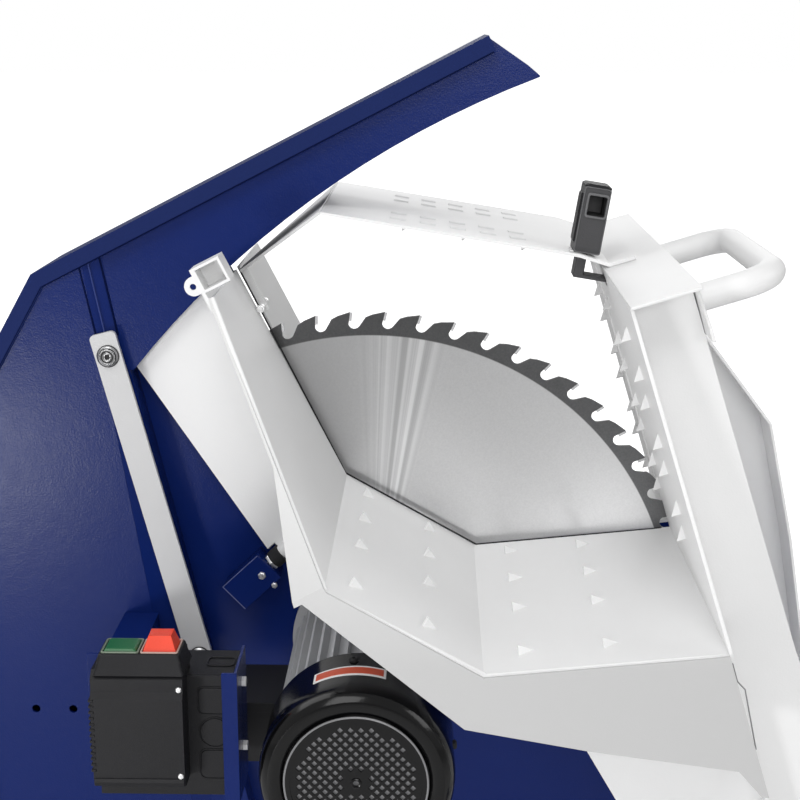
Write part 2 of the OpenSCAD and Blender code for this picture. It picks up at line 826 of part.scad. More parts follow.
// Box bracket standing off the inner plate, its upper face square to the buffer
module buffer_bracket() {
    long = 52;
    wide = 34;
    color("navy") on_floor() translate([buffer_at[0], 0, buffer_at[1]]) rotate([0, -buffer_a, 0])
        difference() {
        box(-long, 0, -buffer_front, -inner_front - seat, -wide / 2, wide / 2);
        box(-long + guard_t, -guard_t, -buffer_front + guard_t, -inner_front + 1,
            -wide / 2 + guard_t, wide / 2 - guard_t);
        translate([-guard_t - 1, buffer_y, 0]) rotate([0, 90, 0]) cylinder(h = guard_t + 2, r = 4 + run);
    }
}

// Along the buffer's axis, from the bracket's face
module on_buffer() {
    translate([buffer_at[0], buffer_y, buffer_at[1]]) rotate([0, 90 - buffer_a, 0]) children();
}

module buffer_bolt() {
    color("silver") on_floor() on_buffer() {
        translate([0, 0, seat]) cylinder(h = buffer_nut_t - seat, r = 7.5, $fn = 6);
        translate([0, 0, -12]) cylinder(h = 13, r = 4);
    }
}

module rubber_buffer() {
    color("black") on_floor() on_buffer() translate([0, 0, buffer_nut_t])
        cylinder(h = buffer_len, r = buffer_r);
}

// Switch

switch_x1 = -112;
switch_x0 = switch_x1 - switch_w;
switch_z1 = 75;
switch_z0 = switch_z1 - switch_h;
switch_front = 300;
switch_back = 245;
cover_x1 = switch_x0 + 80;
cover_front = 330;
cover_z1 = 88;
cover_z0 = switch_z0 + 20;
button_seat_z = 97;
button_split_x = cover_x1 - 40;

module switch_box() {
    wall = 3;
    color("dimgray") on_floor() difference() {
        box(switch_x0, switch_x1, -switch_front, -switch_back, switch_z0, switch_z1);
        box(switch_x0 + wall, switch_x1 - wall, -switch_front - 1, -switch_back - wall,
            switch_z0 + wall, switch_z1 - wall);
    }
}

// Front of the switch: a stepped cover with a raised head for two buttons, and a flat lid beside it
module switch_cover() {
    wall = 3;
    lid_t = 3;
    head_front = 322;
    head_back = 282;
    color("dimgray") on_floor() difference() {
        union() {
            prism_yz([
                [-switch_front - seat, switch_z0], [-switch_front - lid_t, switch_z0],
                [-switch_front - lid_t, cover_z0], [-cover_front + 5, cover_z0],
                [-cover_front, cover_z0 + 9], [-cover_front, cover_z1 - 24],
                [-cover_front + 4, cover_z1 - 18], [-cover_front + 4, cover_z1 - 7],
                [-cover_front + 11, cover_z1],
                [-head_back - 2, cover_z1], [-head_back - 2, switch_z1 + seat],
                [-switch_front - seat, switch_z1 + seat]], switch_x0 - 2, cover_x1);
            box(switch_x0 + 4, cover_x1 - 2, -head_front, -head_back, cover_z1 - bite, button_seat_z);
            box(cover_x1 - bite, switch_x1, -switch_front - lid_t, -switch_front - seat, switch_z0,
                switch_z1);
        }
        box(switch_x0 + 2, cover_x1 - wall, -cover_front + wall + 6, -switch_front + 1, cover_z0 + wall,
            cover_z1 - 12);
        for (x = [switch_x0 + 8, button_split_x + 3]) box(x, x + 31, -head_front + 6, -head_back - 6,
            button_seat_z - 16, button_seat_z + 1);
    }
}

// Extrudes an outline in Y and Z from x0 to x1
module prism_yz(pts, x0, x1) {
    translate([x0, 0, 0]) rotate([90, 0, 90]) linear_extrude(x1 - x0) polygon(pts);
}

module button(x, z_top) {
    gap = 0.4;
    box(x + gap, x + 31 - gap, -316 + gap, -288 - gap, button_seat_z - 12, z_top);
}

module start_button() {
    color("green") on_floor() button(switch_x0 + 8, button_seat_z + 4);
}

// Raised stop button with sloping sides
module stop_button() {
    x0 = button_split_x + 3.4;
    x1 = button_split_x + 33.6;
    z = button_seat_z + 5;
    color("orangered") on_floor() union() {
        button(button_split_x + 3, z);
        intersection() {
            prism_y([[x0, z - bite], [x1, z - bite], [x1 - 5, z + 14], [x0 + 5, z + 14]], -316, -288);
            prism_yz([[-315.6, z - 1], [-288.4, z - 1], [-293, z + 14.5], [-309, z + 14.5]],
                x0 - 1, x1 + 1);
        }
    }
}

module switch_screws() {
    color("silver") on_floor() for (z = [56, -8]) {
        translate([switch_x1 + seat + guard_t, -272, z]) rotate([0, 90, 0]) cylinder(h = 4, r = 5, $fn = 6);
        translate([switch_x1 + 0.02, -272, z]) rotate([0, 90, 0])
            cylinder(h = seat + guard_t + bite, r = 3);
    }
}

// Angle beside the switch, a back plate behind it and a channel that carries both from the left panel
module switch_bracket() {
    x1 = switch_x1 + seat + guard_t;
    front = switch_front + 3 + seat;
    back = switch_back - seat;
    post_x0 = -258;
    post_x1 = -222;
    post_z0 = switch_z0;
    post_z1 = 40;
    color("navy") on_floor() difference() {
        union() {
            box(x1 - guard_t, x1, -front, -back + guard_t, switch_z0 - 8, switch_z1 + 4);
            box(x1 - 14, x1, -front - guard_t, -front, switch_z0 - 8, switch_z1 + 4);
            box(post_x0, x1, -back, -back + guard_t, switch_z0 - 8, switch_z1 - 5);
            difference() {
                box(post_x0, post_x1, -back + guard_t - bite, -arm_front - joggle_h - seat, post_z0,
                    post_z1);
                box(post_x0 + guard_t, post_x1 - guard_t, -back, -arm_front - joggle_h + 1, post_z0 - 1,
                    post_z1 - guard_t);
            }
        }
        for (z = [56, -8]) translate([x1 - 20, -272, z]) rotate([0, 90, 0]) cylinder(h = 30, r = 3.1);
    }
}

// Cradle

spike_len = 16;
spike_h = 9;
spike_turn = 36;
floor_rows = [50, 130, 208, 310];

// A punched tooth: a triangle that stands on the sheet, turned about the sheet's normal
module spike(turn = spike_turn) {
    rotate([0, 0, turn]) translate([0, 0.9, 0]) rotate([90, 0, 0]) linear_extrude(1.8)
        polygon([[0, -1], [spike_len, -1], [0, spike_h]]);
}

module trough_section(y0, y1) {
    prism_y(sheet(trough_path, -cradle_t), y0, y1);
}

module floor_spikes(side, rows) {
    for (y = rows) {
        for (s = [53, 127]) on_panel(corner_low, floor_left_a)
            translate([s + spike_len / 2, side * y, -0.2]) mirror([0, 0, 1]) rotate([0, 0, 180])
                spike(-spike_turn);
        for (s = [40, 115]) on_panel(corner_low, floor_right_a)
            translate([s - spike_len / 2, side * y, -0.2]) spike();
    }
}

module wall_spikes(side, rows) {
    for (i = [0:6], y = rows) on_panel(corner_fold, wall_right_a)
        translate([58 + i * 33, side * (y + (i % 2) * 22), -0.2]) spike();
}

left_top_reach = 188;
right_top_reach = 300;
left_foot = 2;
right_foot = 8;

// Wedge that cuts the near edge of a wall back, from the trough's end near its foot to `reach` at its top
module edge_cut(p, a, len, reach, foot) {
    near = -trough_front;
    run = (len + 1 - foot) / (trough_front - reach);
    on_panel(p, a) translate([0, 0, -20]) linear_extrude(40)
        polygon([[foot - run, near - 1], [len + 1, -reach], [len + 1, near - 1]]);
}

// Near half of the trough, its walls cut back towards the top, with a window for the latch's nose
module trough_near() {
    color("white") on_floor() union() {
        difference() {
            trough_section(-trough_front, -slot_half);
            edge_cut(corner_left, wall_left_a, wall_left_len, left_top_reach, left_foot);
            edge_cut(corner_fold, wall_right_a, wall_right_len, right_top_reach, right_foot);
            on_panel(corner_fold, wall_right_a)
                box(wall_right_len - 17, wall_right_len - 7.5, latch_y0 + 5, latch_y1 - 5, -cradle_t - 1,
                    1);
            hinge_notch();
        }
        floor_spikes(-1, floor_rows);
        wall_spikes(-1, [52, 210]);
        wall_top_tab();
    }
}

// Folded clip above the left wall's near corner, with a drilled lug beside it and a tab behind it
module wall_top_tab() {
    clip = [8, 33, -24, 2 * cradle_t];
    clip_len = 28;
    lip = 2.5;
    lug_r = 9;
    y0 = -left_top_reach;
    on_panel(corner_left, wall_left_a) translate([wall_left_len, 0, 0]) difference() {
        union() {
            box(-12, 12, y0, -arm_front - 4, cradle_t - bite, 2 * cradle_t);
            box(clip[0], clip[1], y0, y0 + clip_len, clip[2], clip[3]);
            box(9, 27, y0, y0 + cradle_t, cradle_t, 9);
            translate([18, y0 + cradle_t, 9]) rotate([90, 0, 0]) cylinder(h = cradle_t, r = lug_r);
        }
        box(clip[0] + lip, clip[1] - lip, y0 - 1, y0 + clip_len - lip, clip[2] + lip, clip[3] - lip - 2);
        translate([18, y0 - 1, 10]) rotate([-90, 0, 0]) cylinder(h = cradle_t + 2, r = 3);
    }
}

module trough_far() {
    right_reach = 85;
    color("white") on_floor() union() {
        difference() {
            trough_section(slot_half, trough_back);
            on_panel(corner_fold, wall_right_a)
                box(4, wall_right_len + 1, right_reach, trough_back + 1, -20, 20);
            hinge_notch();
        }
        floor_spikes(1, [50, 130]);
        wall_spikes(1, [30]);
    }
}

// Skirt below the front edge of the trough, folded back along the left wall
module trough_apron() {
    skirt_low = [94, 50];
    skirt_mid = [200, 31];
    skirt_right = [332, 13];
    skirt_left = [-46, 165];
    strip_low = 30;
    strip_top = 2;
    strip_len = 118;
    overlap = 6;
    edge_run = trough_front - left_top_reach;
    edge_rise = wall_left_len + 1 - left_foot;
    edge_a = atan2(edge_run, edge_rise);
    edge_len = norm([edge_run, edge_rise]);
    back = -trough_front - seat;
    color("white") on_floor() union() {
        prism_y([corner_left, skirt_left, skirt_low, skirt_mid, skirt_right, [353, -11],
            step_to(corner_fold, wall_right_a + 180, 138), corner_fold, corner_right, corner_low],
            back - cradle_t, back);
        intersection() {
            on_panel(corner_left, wall_left_a) translate([left_foot, back - 0.4, 0]) rotate([0, 0, edge_a])
                rotate([90, 0, 0]) linear_extrude(cradle_t)
                    polygon([[-overlap, -1], [edge_len, 0], [edge_len, strip_top], [strip_len, strip_top],
                        [-overlap, strip_low]]);
            box(-300, 0, back - cradle_t, 0, 0, 500);
        }
    }
}

// Hinge of the hold-down plate, in the slot of the left wall

hinge_in = 4.5;
hinge_clear = 24;
hinge_foot = step_to(corner_left, wall_left_a - 90, hinge_in);
hinge_foot_s = hinge_foot * polar(1, wall_left_a);
hinge_s = sqrt(hinge_foot_s ^ 2 - hinge_foot * hinge_foot + (blade_r + hinge_clear) ^ 2) - hinge_foot_s;
hinge_at = step_to(hinge_foot, wall_left_a, hinge_s);
hinge_pin_r = 2.5;
leg_half = 4;

module hinge_notch() {
    on_panel(corner_left, wall_left_a)
        box(hinge_s - 12, hinge_s + 12, -slot_half - 0.1, slot_half + 0.1, -1, 1);
}

module hold_down_hinge() {
    ear_y = slot_half + 2;
    color("silver") on_floor() {
        cyl_y(hinge_pin_r, -ear_y - 10, ear_y + 10, hinge_at[0], hinge_at[1]);
        for (s = [-1, 1]) translate([hinge_at[0], s * (ear_y + 4), hinge_at[1]]) rotate([90, 0, 0])
            cylinder(h = 8, r = hinge_in - seat, center = true);
    }
}

// Hold-down plate over the trough: a leg in the slot, a tapered arm, the spiked plate and its tab

plate_near = 108;
plate_far = 180;
plate_bend = [-44, 464];
plate_right = [205, 424];
cap_a = wall_right_a - 90;
cap_left = step_to(wall_right_top, wall_right_a, seat);
cap_w = post_w;
tab_left = step_to(cap_left, cap_a, 6) + cradle_t * [-sin(cap_a), cos(cap_a)];

module hold_down_plate() {
    t = cradle_t;
    leg_top = step_to(hinge_at, wall_left_a, 42);
    arm_a = atan2(plate_bend[1] - leg_top[1], plate_bend[0] - leg_top[0]);
    arm_len = norm(plate_bend - leg_top);
    lift = (seat + 0.1) * [-sin(cap_a), cos(cap_a)];
    path = [plate_bend, plate_right, tab_left + lift, step_to(tab_left, cap_a, 26) + lift];
    color("white") on_floor() difference() {
        union() {
            prism_y(sheet(path, t), -plate_near, plate_far);
            on_panel(leg_top, arm_a) translate([0, 0, 0.15]) linear_extrude(t)
                polygon([[0, -20], [arm_len + 1, -plate_near], [arm_len + 1, plate_far], [0, 12]]);
            on_panel(hinge_at, wall_left_a) box(-6, 44, -leg_half, leg_half, -4.5, 4);
            for (i = [0:4], y = [-60, 110]) on_panel(plate_bend, plate_a)
                translate([80 + i * 30, y + (i % 2) * 20, 0.2]) mirror([0, 0, 1]) spike();
        }
        cyl_y(hinge_pin_r + run, -leg_half - 1, leg_half + 1, hinge_at[0], hinge_at[1]);
        latch_slot();
    }
}

// Latch: a slide on the hold-down plate, its nose in a window of the right wall

latch_x = 212;
latch_y0 = -98;
latch_y1 = -62;
latch_travel = 6;
plate_a = atan2(plate_right[1] - plate_bend[1], plate_right[0] - plate_bend[0]);
latch_s = (latch_x - plate_bend[0]) / cos(plate_a);

module latch_slot() {
    on_panel(plate_bend, plate_a)
        box(latch_s - 9 - latch_travel, latch_s + 3, latch_y0 + 5, latch_y1 - 5, -10, 10);
}

module latch() {
    half = 13;
    body_z = cradle_t + seat;
    body_h = 64;
    nose_z = -20;
    nose_s = latch_s + 28.6;
    color("dimgray") on_floor() on_panel(plate_bend, plate_a) difference() {
        union() {
            box(latch_s - half, latch_s + half, latch_y0, latch_y1, body_z, body_z + body_h);
            box(latch_s - 8, latch_s + 2, latch_y0 + 6, latch_y1 - 6, nose_z - 2, body_z + bite);
            box(latch_s - 8, nose_s, latch_y0 + 6, latch_y1 - 6, nose_z - 2, nose_z + 2);
        }
        box(latch_s - half + 6, latch_s + half - 3, latch_y0 - 1, latch_y1 - 6, body_z + 37, body_z + 56);
    }
}

// Post: a web set back from the wall's edge, a flange round its right side and a foot on the pivot tube

pivot_tube_r = pivot_r + bush_t + pivot_tube_t;
foot_r = 46;
post_foot_right = [pivot_x + foot_r - 2, pivot_z + 4];
post_top_right = step_to(cap_left, cap_a, post_w - cradle_t - seat - 1);
post_knee = [396, 89];
gusset_left = [209, -12];
gusset_low = [239, -64];

module post_front() {
    t = cradle_t;
    outside = shifted(trough_path, -t - seat);
    gusset_top = [gusset_left[0], outside[3][1] + (gusset_left[0] - outside[3][0]) * tan(floor_right_a)];
    foot = [[pivot_x - foot_r, pivot_z - 10], [pivot_x, pivot_z - foot_r]];
    spine = [post_foot_right, post_knee, post_top_right];
    color("white") on_floor() difference() {
        union() {
            prism_y(concat([gusset_left, gusset_low], foot, spine,
                [step_to(cap_left, cap_a, t + seat), outside[5], outside[4], outside[3], gusset_top]),
                -post_web_front, -post_web_front + t);
            prism_y(sheet(spine, t), -post_web_front, -post_web_front + 60);
            lower_edge_flange();
        }
        cyl_y(pivot_tube_r + seat, -post_web_front - 1, -post_web_front + t + 1, pivot_x, pivot_z);
        on_panel(wall_right_top, cap_a) box(-40, 120, -trough_front, trough_back, 0, 60);
    }
}

// Front flange of the post below the trough, in line with the right wall
module lower_edge_flange() {
    reach = 300;
    on_panel(corner_fold, wall_right_a + 180) box(14, 260, -reach, -post_web_front + 1, 0, cradle_t);
}

module side_plate_rear() {
    t = cradle_t;
    back = trough_back + 5;
    edge_off = 13;
    gusset_end = [60, 110];
    wall = shifted([corner_fold, wall_right_top], -edge_off);
    foot = [[pivot_x - foot_r, pivot_z - 10], [pivot_x, pivot_z - foot_r]];
    spine = [[pivot_x + foot_r, pivot_z], [484, 60], [453, 198], [380, 293]];
    color("white") on_floor() difference() {
        union() {
            prism_y(concat([gusset_left, gusset_low], foot, spine,
                [step_to(cap_left, cap_a, post_w - t - seat), wall[1], wall[0]],
                [corner_fold + [4, 0], corner_right, corner_low, gusset_end]), back - t, back);
            prism_y(sheet(spine, t), back - 60, back);
        }
        cyl_y(pivot_tube_r + seat, back - t - 1, back + 1, pivot_x, pivot_z);
        on_panel(wall_right_top, cap_a) box(-40, 120, -trough_front, trough_back + 20, 0, 60);
    }
}

module post_cap() {
    flange_h = 48;
    front = 310;
    color("white") on_floor() on_panel(cap_left, cap_a) {
        box(0, cap_w, -front, trough_back + 5, 0, cradle_t);
        difference() {
            box(cap_w - cradle_t, cap_w, -front + 8, trough_back + 2 - seat, -flange_h, bite);
            translate([0, -front - 1, -flange_h - 1]) rotate([-35, 0, 0])
                box(cap_w - 10, cap_w + 10, -60, 0, -20, 60);
        }
    }
}

handle_mid_y = -132;
handle_drop = 19;

// Tube loop: two legs square to the cap's flange and a bar between them, round corners
module handle() {
    r = handle_d / 2;
    bore = r - 2.5;
    reach = handle_reach - r;
    half = handle_len / 2;
    color("white") on_floor() on_panel(cap_left, cap_a) translate([cap_w + 0.1, handle_mid_y, -handle_drop])
        for (s = [-1, 1]) {
            difference() {
                translate([0, s * half, 0]) rotate([0, 90, 0])
                    cylinder(h = reach - handle_bend_r, r = r, $fn = 48);
                translate([-1, s * half, 0]) rotate([0, 90, 0])
                    cylinder(h = reach - handle_bend_r + 2, r = bore);
            }
            translate([reach - handle_bend_r, s * (half - handle_bend_r), 0])
                rotate([0, 0, s > 0 ? 0 : -90])
                rotate_extrude(angle = 90, $fn = 48) translate([handle_bend_r, 0]) difference() {
                    circle(r = r, $fn = 48);
                    circle(r = bore, $fn = 32);
                }
            translate([reach, 0, 0]) rotate([s > 0 ? -90 : 90, 0, 0]) difference() {
                cylinder(h = half - handle_bend_r, r = r, $fn = 48);
                translate([0, 0, -1]) cylinder(h = half - handle_bend_r + 2, r = bore);
            }
        }
}

// Sector panel between the guard's plates, and the lug on it that meets the rubber buffer
module sector_panel() {
    t = 3;
    front = 45;
    wall = shifted([wall_left_top, corner_left], -cradle_t - seat);
    lug_from = buffer_nut_t + buffer_len + seat;
    color("white") on_floor() union() {
        difference() {
            intersection() {
                prism_y([[-100, 90], [-266, 341], [-200, 480], wall[0] + [-6, 40], wall[0], wall[1],
                    [-62, 150], [-86, 119]], -front, -front + t);
                translate([pivot_x, -front + t + 1, pivot_z]) rotate([90, 0, 0])
                    cylinder(h = t + 2, r = arm_arc_r + 14, $fn = 720);
            }
            cyl_y(3.5, -front - 1, -front + t + 1, -86, 126);
            on_buffer() translate([0, 0, -60]) cylinder(h = 60 + lug_from, r = buffer_r + 3);
        }
        intersection() {
            on_buffer() translate([0, 0, lug_from]) cylinder(h = 30, r = 8);
            box(-200, 100, -arm_front - 5, -front + t, 0, 200);
        }
    }
}

module pivot_tube() {
    color("white") on_floor() difference() {
        cyl_y(pivot_tube_r, -rail_front_y + tube_w / 2 + 3, rail_rear_y - tube_w / 2 - 3, pivot_x, pivot_z);
        cyl_y(pivot_tube_r - pivot_tube_t, -rail_front_y, rail_rear_y, pivot_x, pivot_z);
    }
}

module pivot_bushes() {
    bush_len = 40;
    color("peru") on_floor() for (y = [-rail_front_y + tube_w / 2 + 3,
        rail_rear_y - tube_w / 2 - 3 - bush_len])
        difference() {
            cyl_y(pivot_r + bush_t - run / 5, y, y + bush_len, pivot_x, pivot_z);
            cyl_y(pivot_r + run, y - 1, y + bush_len + 1, pivot_x, pivot_z);
        }
}

module pivot_shaft() {
    color("silver") on_floor()
        cyl_y(pivot_r, -rail_front_y - tube_w / 2 - 8, rail_rear_y + tube_w / 2 + 8, pivot_x, pivot_z);
}

guard_front_plate();
guard_rear_plate();
guard_rim();
rail_front();
rail_rear();
rail_end_caps();
crossbar_left();
crossbar_middle();
crossbar_right();
pivot_post_front();
pivot_post_rear();
floor_feet();
axle_brackets();
wheel_axle();
wheel_front_hub();
wheel_front_tyre();
wheel_rear_hub();
wheel_rear_tyre();
axle_collars();
support_bar();
support_bar_bolts();
buffer_bracket();
buffer_bolt();
rubber_buffer();
switch_bracket();
switch_box();
switch_cover();
start_button();
stop_button();
switch_screws();
terminal_box();
motor_housing();
motor_stator();
motor_drive_shield();
motor_fan_shield();
motor_bearings();
fan_cover();
motor_bolts();
motor_shaft();
rotor_core();
cooling_fan();
inner_clamp_flange();
outer_clamp_flange();
arbor_nut();
saw_blade();
carbide_tips();
pivot_shaft();
trough_near();
trough_far();
trough_apron();
post_front();
side_plate_rear();
post_cap();
handle();
hold_down_plate();
hold_down_hinge();
sector_panel();
pivot_tube();
pivot_bushes();
latch();
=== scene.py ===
import json
import math

import bmesh
import bpy
from mathutils import Euler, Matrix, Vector


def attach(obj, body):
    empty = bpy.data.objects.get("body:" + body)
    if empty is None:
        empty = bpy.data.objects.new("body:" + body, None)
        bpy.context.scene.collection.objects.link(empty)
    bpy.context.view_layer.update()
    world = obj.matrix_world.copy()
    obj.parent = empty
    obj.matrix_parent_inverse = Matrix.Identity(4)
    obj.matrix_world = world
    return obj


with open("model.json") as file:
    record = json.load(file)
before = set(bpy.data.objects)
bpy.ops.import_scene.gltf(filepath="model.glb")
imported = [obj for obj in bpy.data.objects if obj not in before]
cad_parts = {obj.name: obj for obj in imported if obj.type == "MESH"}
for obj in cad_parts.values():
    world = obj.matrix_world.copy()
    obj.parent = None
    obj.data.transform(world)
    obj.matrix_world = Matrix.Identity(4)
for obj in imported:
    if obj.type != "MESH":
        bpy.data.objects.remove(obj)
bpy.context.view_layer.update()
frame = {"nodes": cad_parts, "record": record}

# Swing log saw: finishes with some painted light and shade, thin pieces, stage and light round the CAD frame.
# Places are in machine millimetres, counted from the blade's centre: X right, Y away from the camera, Z up.

NODES = frame["nodes"]
MM = 0.001
BLADE = Vector((-65.0, 45.0, 650.0))
FRONT = (0, -1, 0)
ROOT = "frame"


def at(x, y, z):
    """A point in machine millimetres, as a point of the shared frame in metres."""
    return (BLADE + Vector((x, y, z))) * MM


AXIS = at(0, 0, 0)

# Camera

LENS = 67.5
FILM_WIDTH = 36.0
FAR_CLIP = 200.0
EYE = (0.0, -1.4964, 1.2913)
PITCH = 75.93
YAW = 1.29

camera_data = bpy.data.cameras.new("camera")
camera_data.lens = LENS
camera_data.sensor_width = FILM_WIDTH
camera_data.clip_end = FAR_CLIP
camera = bpy.data.objects.new("camera", camera_data)
camera.location = EYE
camera.rotation_euler = Euler((math.radians(PITCH), 0.0, math.radians(YAW)), "XYZ")
bpy.context.scene.collection.objects.link(camera)
bpy.context.scene.camera = camera
bpy.context.scene.view_settings.view_transform = "Standard"


# Node helpers

class Nodes:
    """The node tree of a material or world, with short calls for the nodes used here."""

    def __init__(self, owner, output="ShaderNodeOutputMaterial"):
        owner.use_nodes = True
        self.owner = owner
        self.tree = owner.node_tree
        self.tree.nodes.clear()
        self.out = self.add(output)

    def add(self, kind, **settings):
        node = self.tree.nodes.new(kind)
        for key, value in settings.items():
            setattr(node, key, value)
        return node

    def feed(self, socket, value):
        """Links an output to the socket, or writes a plain value to it."""
        if hasattr(value, "is_output"):
            self.tree.links.new(value, socket)
        else:
            socket.default_value = value

    def filled(self, kind, values, **settings):
        """A new node whose named inputs are fed."""
        node = self.add(kind, **settings)
        for key, value in values.items():
            self.feed(node.inputs[key], value)
        return node

    def coords(self):
        return self.add("ShaderNodeTexCoord").outputs["Object"]

    def noise(self, source, scale, detail=2.0, rough=0.5):
        values = {"Scale": scale, "Detail": detail, "Roughness": rough, "Vector": source}
        return self.filled("ShaderNodeTexNoise", values).outputs["Fac"]

    def noise_1d(self, source, scale, detail=3.0):
        values = {"Scale": scale, "Detail": detail, "W": source}
        return self.filled("ShaderNodeTexNoise", values, noise_dimensions="1D").outputs["Fac"]

    def cells(self, source, scale):
        return self.filled("ShaderNodeTexVoronoi", {"Scale": scale, "Vector": source}).outputs["Distance"]

    def ramp(self, source, stops):
        """Colour along a list of (place, colour)."""
        node = self.filled("ShaderNodeValToRGB", {"Fac": source})
        elements = node.color_ramp.elements
        for element, (place, colour) in zip(elements, stops):
            element.position = place
            element.color = (*colour, 1.0)
        return node.outputs["Color"]

    def mottled(self, source, colour, spread):
        """A colour that drifts by a share of itself."""
        return self.ramp(source, [(0.3, scaled(colour, 1 - spread)), (0.7, scaled(colour, 1 + spread))])

    def span(self, source, a, b, c, d):
        """A value mapped from a..b to c..d, and held at the ends."""
        values = {"Value": source, "From Min": a, "From Max": b, "To Min": c, "To Max": d}
        return self.filled("ShaderNodeMapRange", values).outputs["Result"]

    def bump(self, height, strength, distance, normal=None):
        values = {"Strength": strength, "Distance": distance, "Height": height}
        if normal:
            values["Normal"] = normal
        return self.filled("ShaderNodeBump", values).outputs["Normal"]

    def maths(self, operation, a, b):
        return self.filled("ShaderNodeMath", {0: a, 1: b}, operation=operation).outputs[0]

    def vector(self, operation, a, b):
        return self.filled("ShaderNodeVectorMath", {0: a, 1: b}, operation=operation).outputs[0]

    def length(self, a):
        return self.filled("ShaderNodeVectorMath", {0: a}, operation="LENGTH").outputs["Value"]

    def split(self, a):
        return self.filled("ShaderNodeSeparateXYZ", {0: a}).outputs

    def mix(self, factor, a, b):
        values = {"Factor": factor, "A": a, "B": b}
        return self.filled("ShaderNodeMix", values, data_type="RGBA").outputs["Result"]

    def surface(self, shader):
        self.feed(self.out.inputs["Surface"], shader)

    def principled(self, **values):
        named = {key.replace("_", " "): value for key, value in values.items()}
        self.surface(self.filled("ShaderNodeBsdfPrincipled", named).outputs["BSDF"])


def srgb(*values):
    """Linear colour of an sRGB value given from 0 to 255."""
    return tuple((v / 255) / 12.92 if v <= 10 else ((v / 255 + 0.055) / 1.055) ** 2.4 for v in values)


def scaled(colour, k):
    return tuple(min(1.0, c * k) for c in colour)


# Materials

PEEL_SCALE = 620.0
PEEL_DEPTH = 0.0006
WAVE_DEPTH = 0.0015
DRIFT_SCALE = 7.0
GLOSS_SCALE = 60.0
# Heights in metres over which the skirt's painted shade fades out
SKIRT_SHADE_FADE = (0.755, 0.90)
RING_EDGE = (0.3245, 0.3256)
# Angles of the blade's painted shade side and of its painted highlight beams
SIDE_RISE = (1.45, 2.10)
SIDE_FALL = (2.20, 3.10)
BEAM_RISE = (1.31, 1.40)
BEAM_FALL = (1.46, 1.62)


def paint(name, colour, rough, peel, cell=PEEL_SCALE, specular=0.5, variation=0.06):
    """Sprayed paint: fine orange peel, slow drift of tone and a little uneven gloss."""
    n = Nodes(bpy.data.materials.new(name))
    p = n.coords()
    wave = n.bump(n.noise(p, cell / 9), peel * 0.5, WAVE_DEPTH)
    gloss = n.noise(p, GLOSS_SCALE, 3.0)
    n.principled(Base_Color=n.mottled(n.noise(p, DRIFT_SCALE, 3.0), colour, variation),
                 Roughness=n.span(gloss, 0.3, 0.7, rough * 0.96, rough * 1.05),
                 Normal=n.bump(n.noise(p, cell, 1.5, 0.4), peel, PEEL_DEPTH, wave),
                 Specular_IOR_Level=specular)
    return n.owner


def skirt_painted_shade():
    """White paint with a painted shade: a little greyer on the skirt, below the trough's edge, where less
    light falls.
    """
    n = Nodes(bpy.data.materials.new("skirt_painted_shade"))
    p = n.coords()
    height = n.span(n.split(p)["Z"], *SKIRT_SHADE_FADE, 0.0, 1.0)
    n.principled(Base_Color=n.ramp(height, [(0.0, (0.52, 0.52, 0.52)), (1.0, (0.66, 0.66, 0.66))]),
                 Roughness=n.span(n.noise(p, GLOSS_SCALE, 3.0), 0.3, 0.7, 0.34, 0.43),
                 Normal=n.bump(n.noise(p, PEEL_SCALE, 1.5, 0.4), 0.14, PEEL_DEPTH),
                 Specular_IOR_Level=0.4)
    return n.owner


def metal(name, colour, rough, depth=0.15):
    """Plain metal with a fine grain and faint stains."""
    n = Nodes(bpy.data.materials.new(name))
    p = n.coords()
    grain = n.noise(p, 1080.0, 3.0, 0.6)
    stain = n.noise(p, 34.0, 4.0, 0.6)
    n.principled(Base_Color=n.ramp(stain, [(0.35, scaled(colour, 0.92)), (0.65, colour)]),
                 Roughness=n.span(grain, 0.3, 0.7, rough * 0.8, rough * 1.3),
                 Metallic=1.0, Normal=n.bump(grain, depth, 0.0003))
    return n.owner


def plastic(name, colour, rough, depth=0.25, specular=0.5):
    """Moulded plastic with a fine spark-eroded grain."""
    n = Nodes(bpy.data.materials.new(name))
    p = n.coords()
    n.principled(Base_Color=n.mottled(n.noise(p, 22.0, 3.0), colour, 0.08),
                 Roughness=n.span(n.noise(p, 980.0), 0.3, 0.7, rough * 0.9, rough * 1.15),
                 Normal=n.bump(n.cells(p, 1400.0), depth, 0.0004),
                 Specular_IOR_Level=specular)
    return n.owner


def rubber(name, colour):
    """Dull rubber with a little dust on it."""
    n = Nodes(bpy.data.materials.new(name))
    p = n.coords()
    dust = n.noise(p, 90.0, 5.0, 0.65)
    n.principled(Base_Color=n.ramp(dust, [(0.35, scaled(colour, 0.8)), (0.7, scaled(colour, 1.4))]),
                 Roughness=n.span(dust, 0.3, 0.7, 0.675, 0.8625),
                 Normal=n.bump(n.noise(p, 700.0, 3.0), 0.3, 0.0005),
                 Specular_IOR_Level=0.3)
    return n.owner


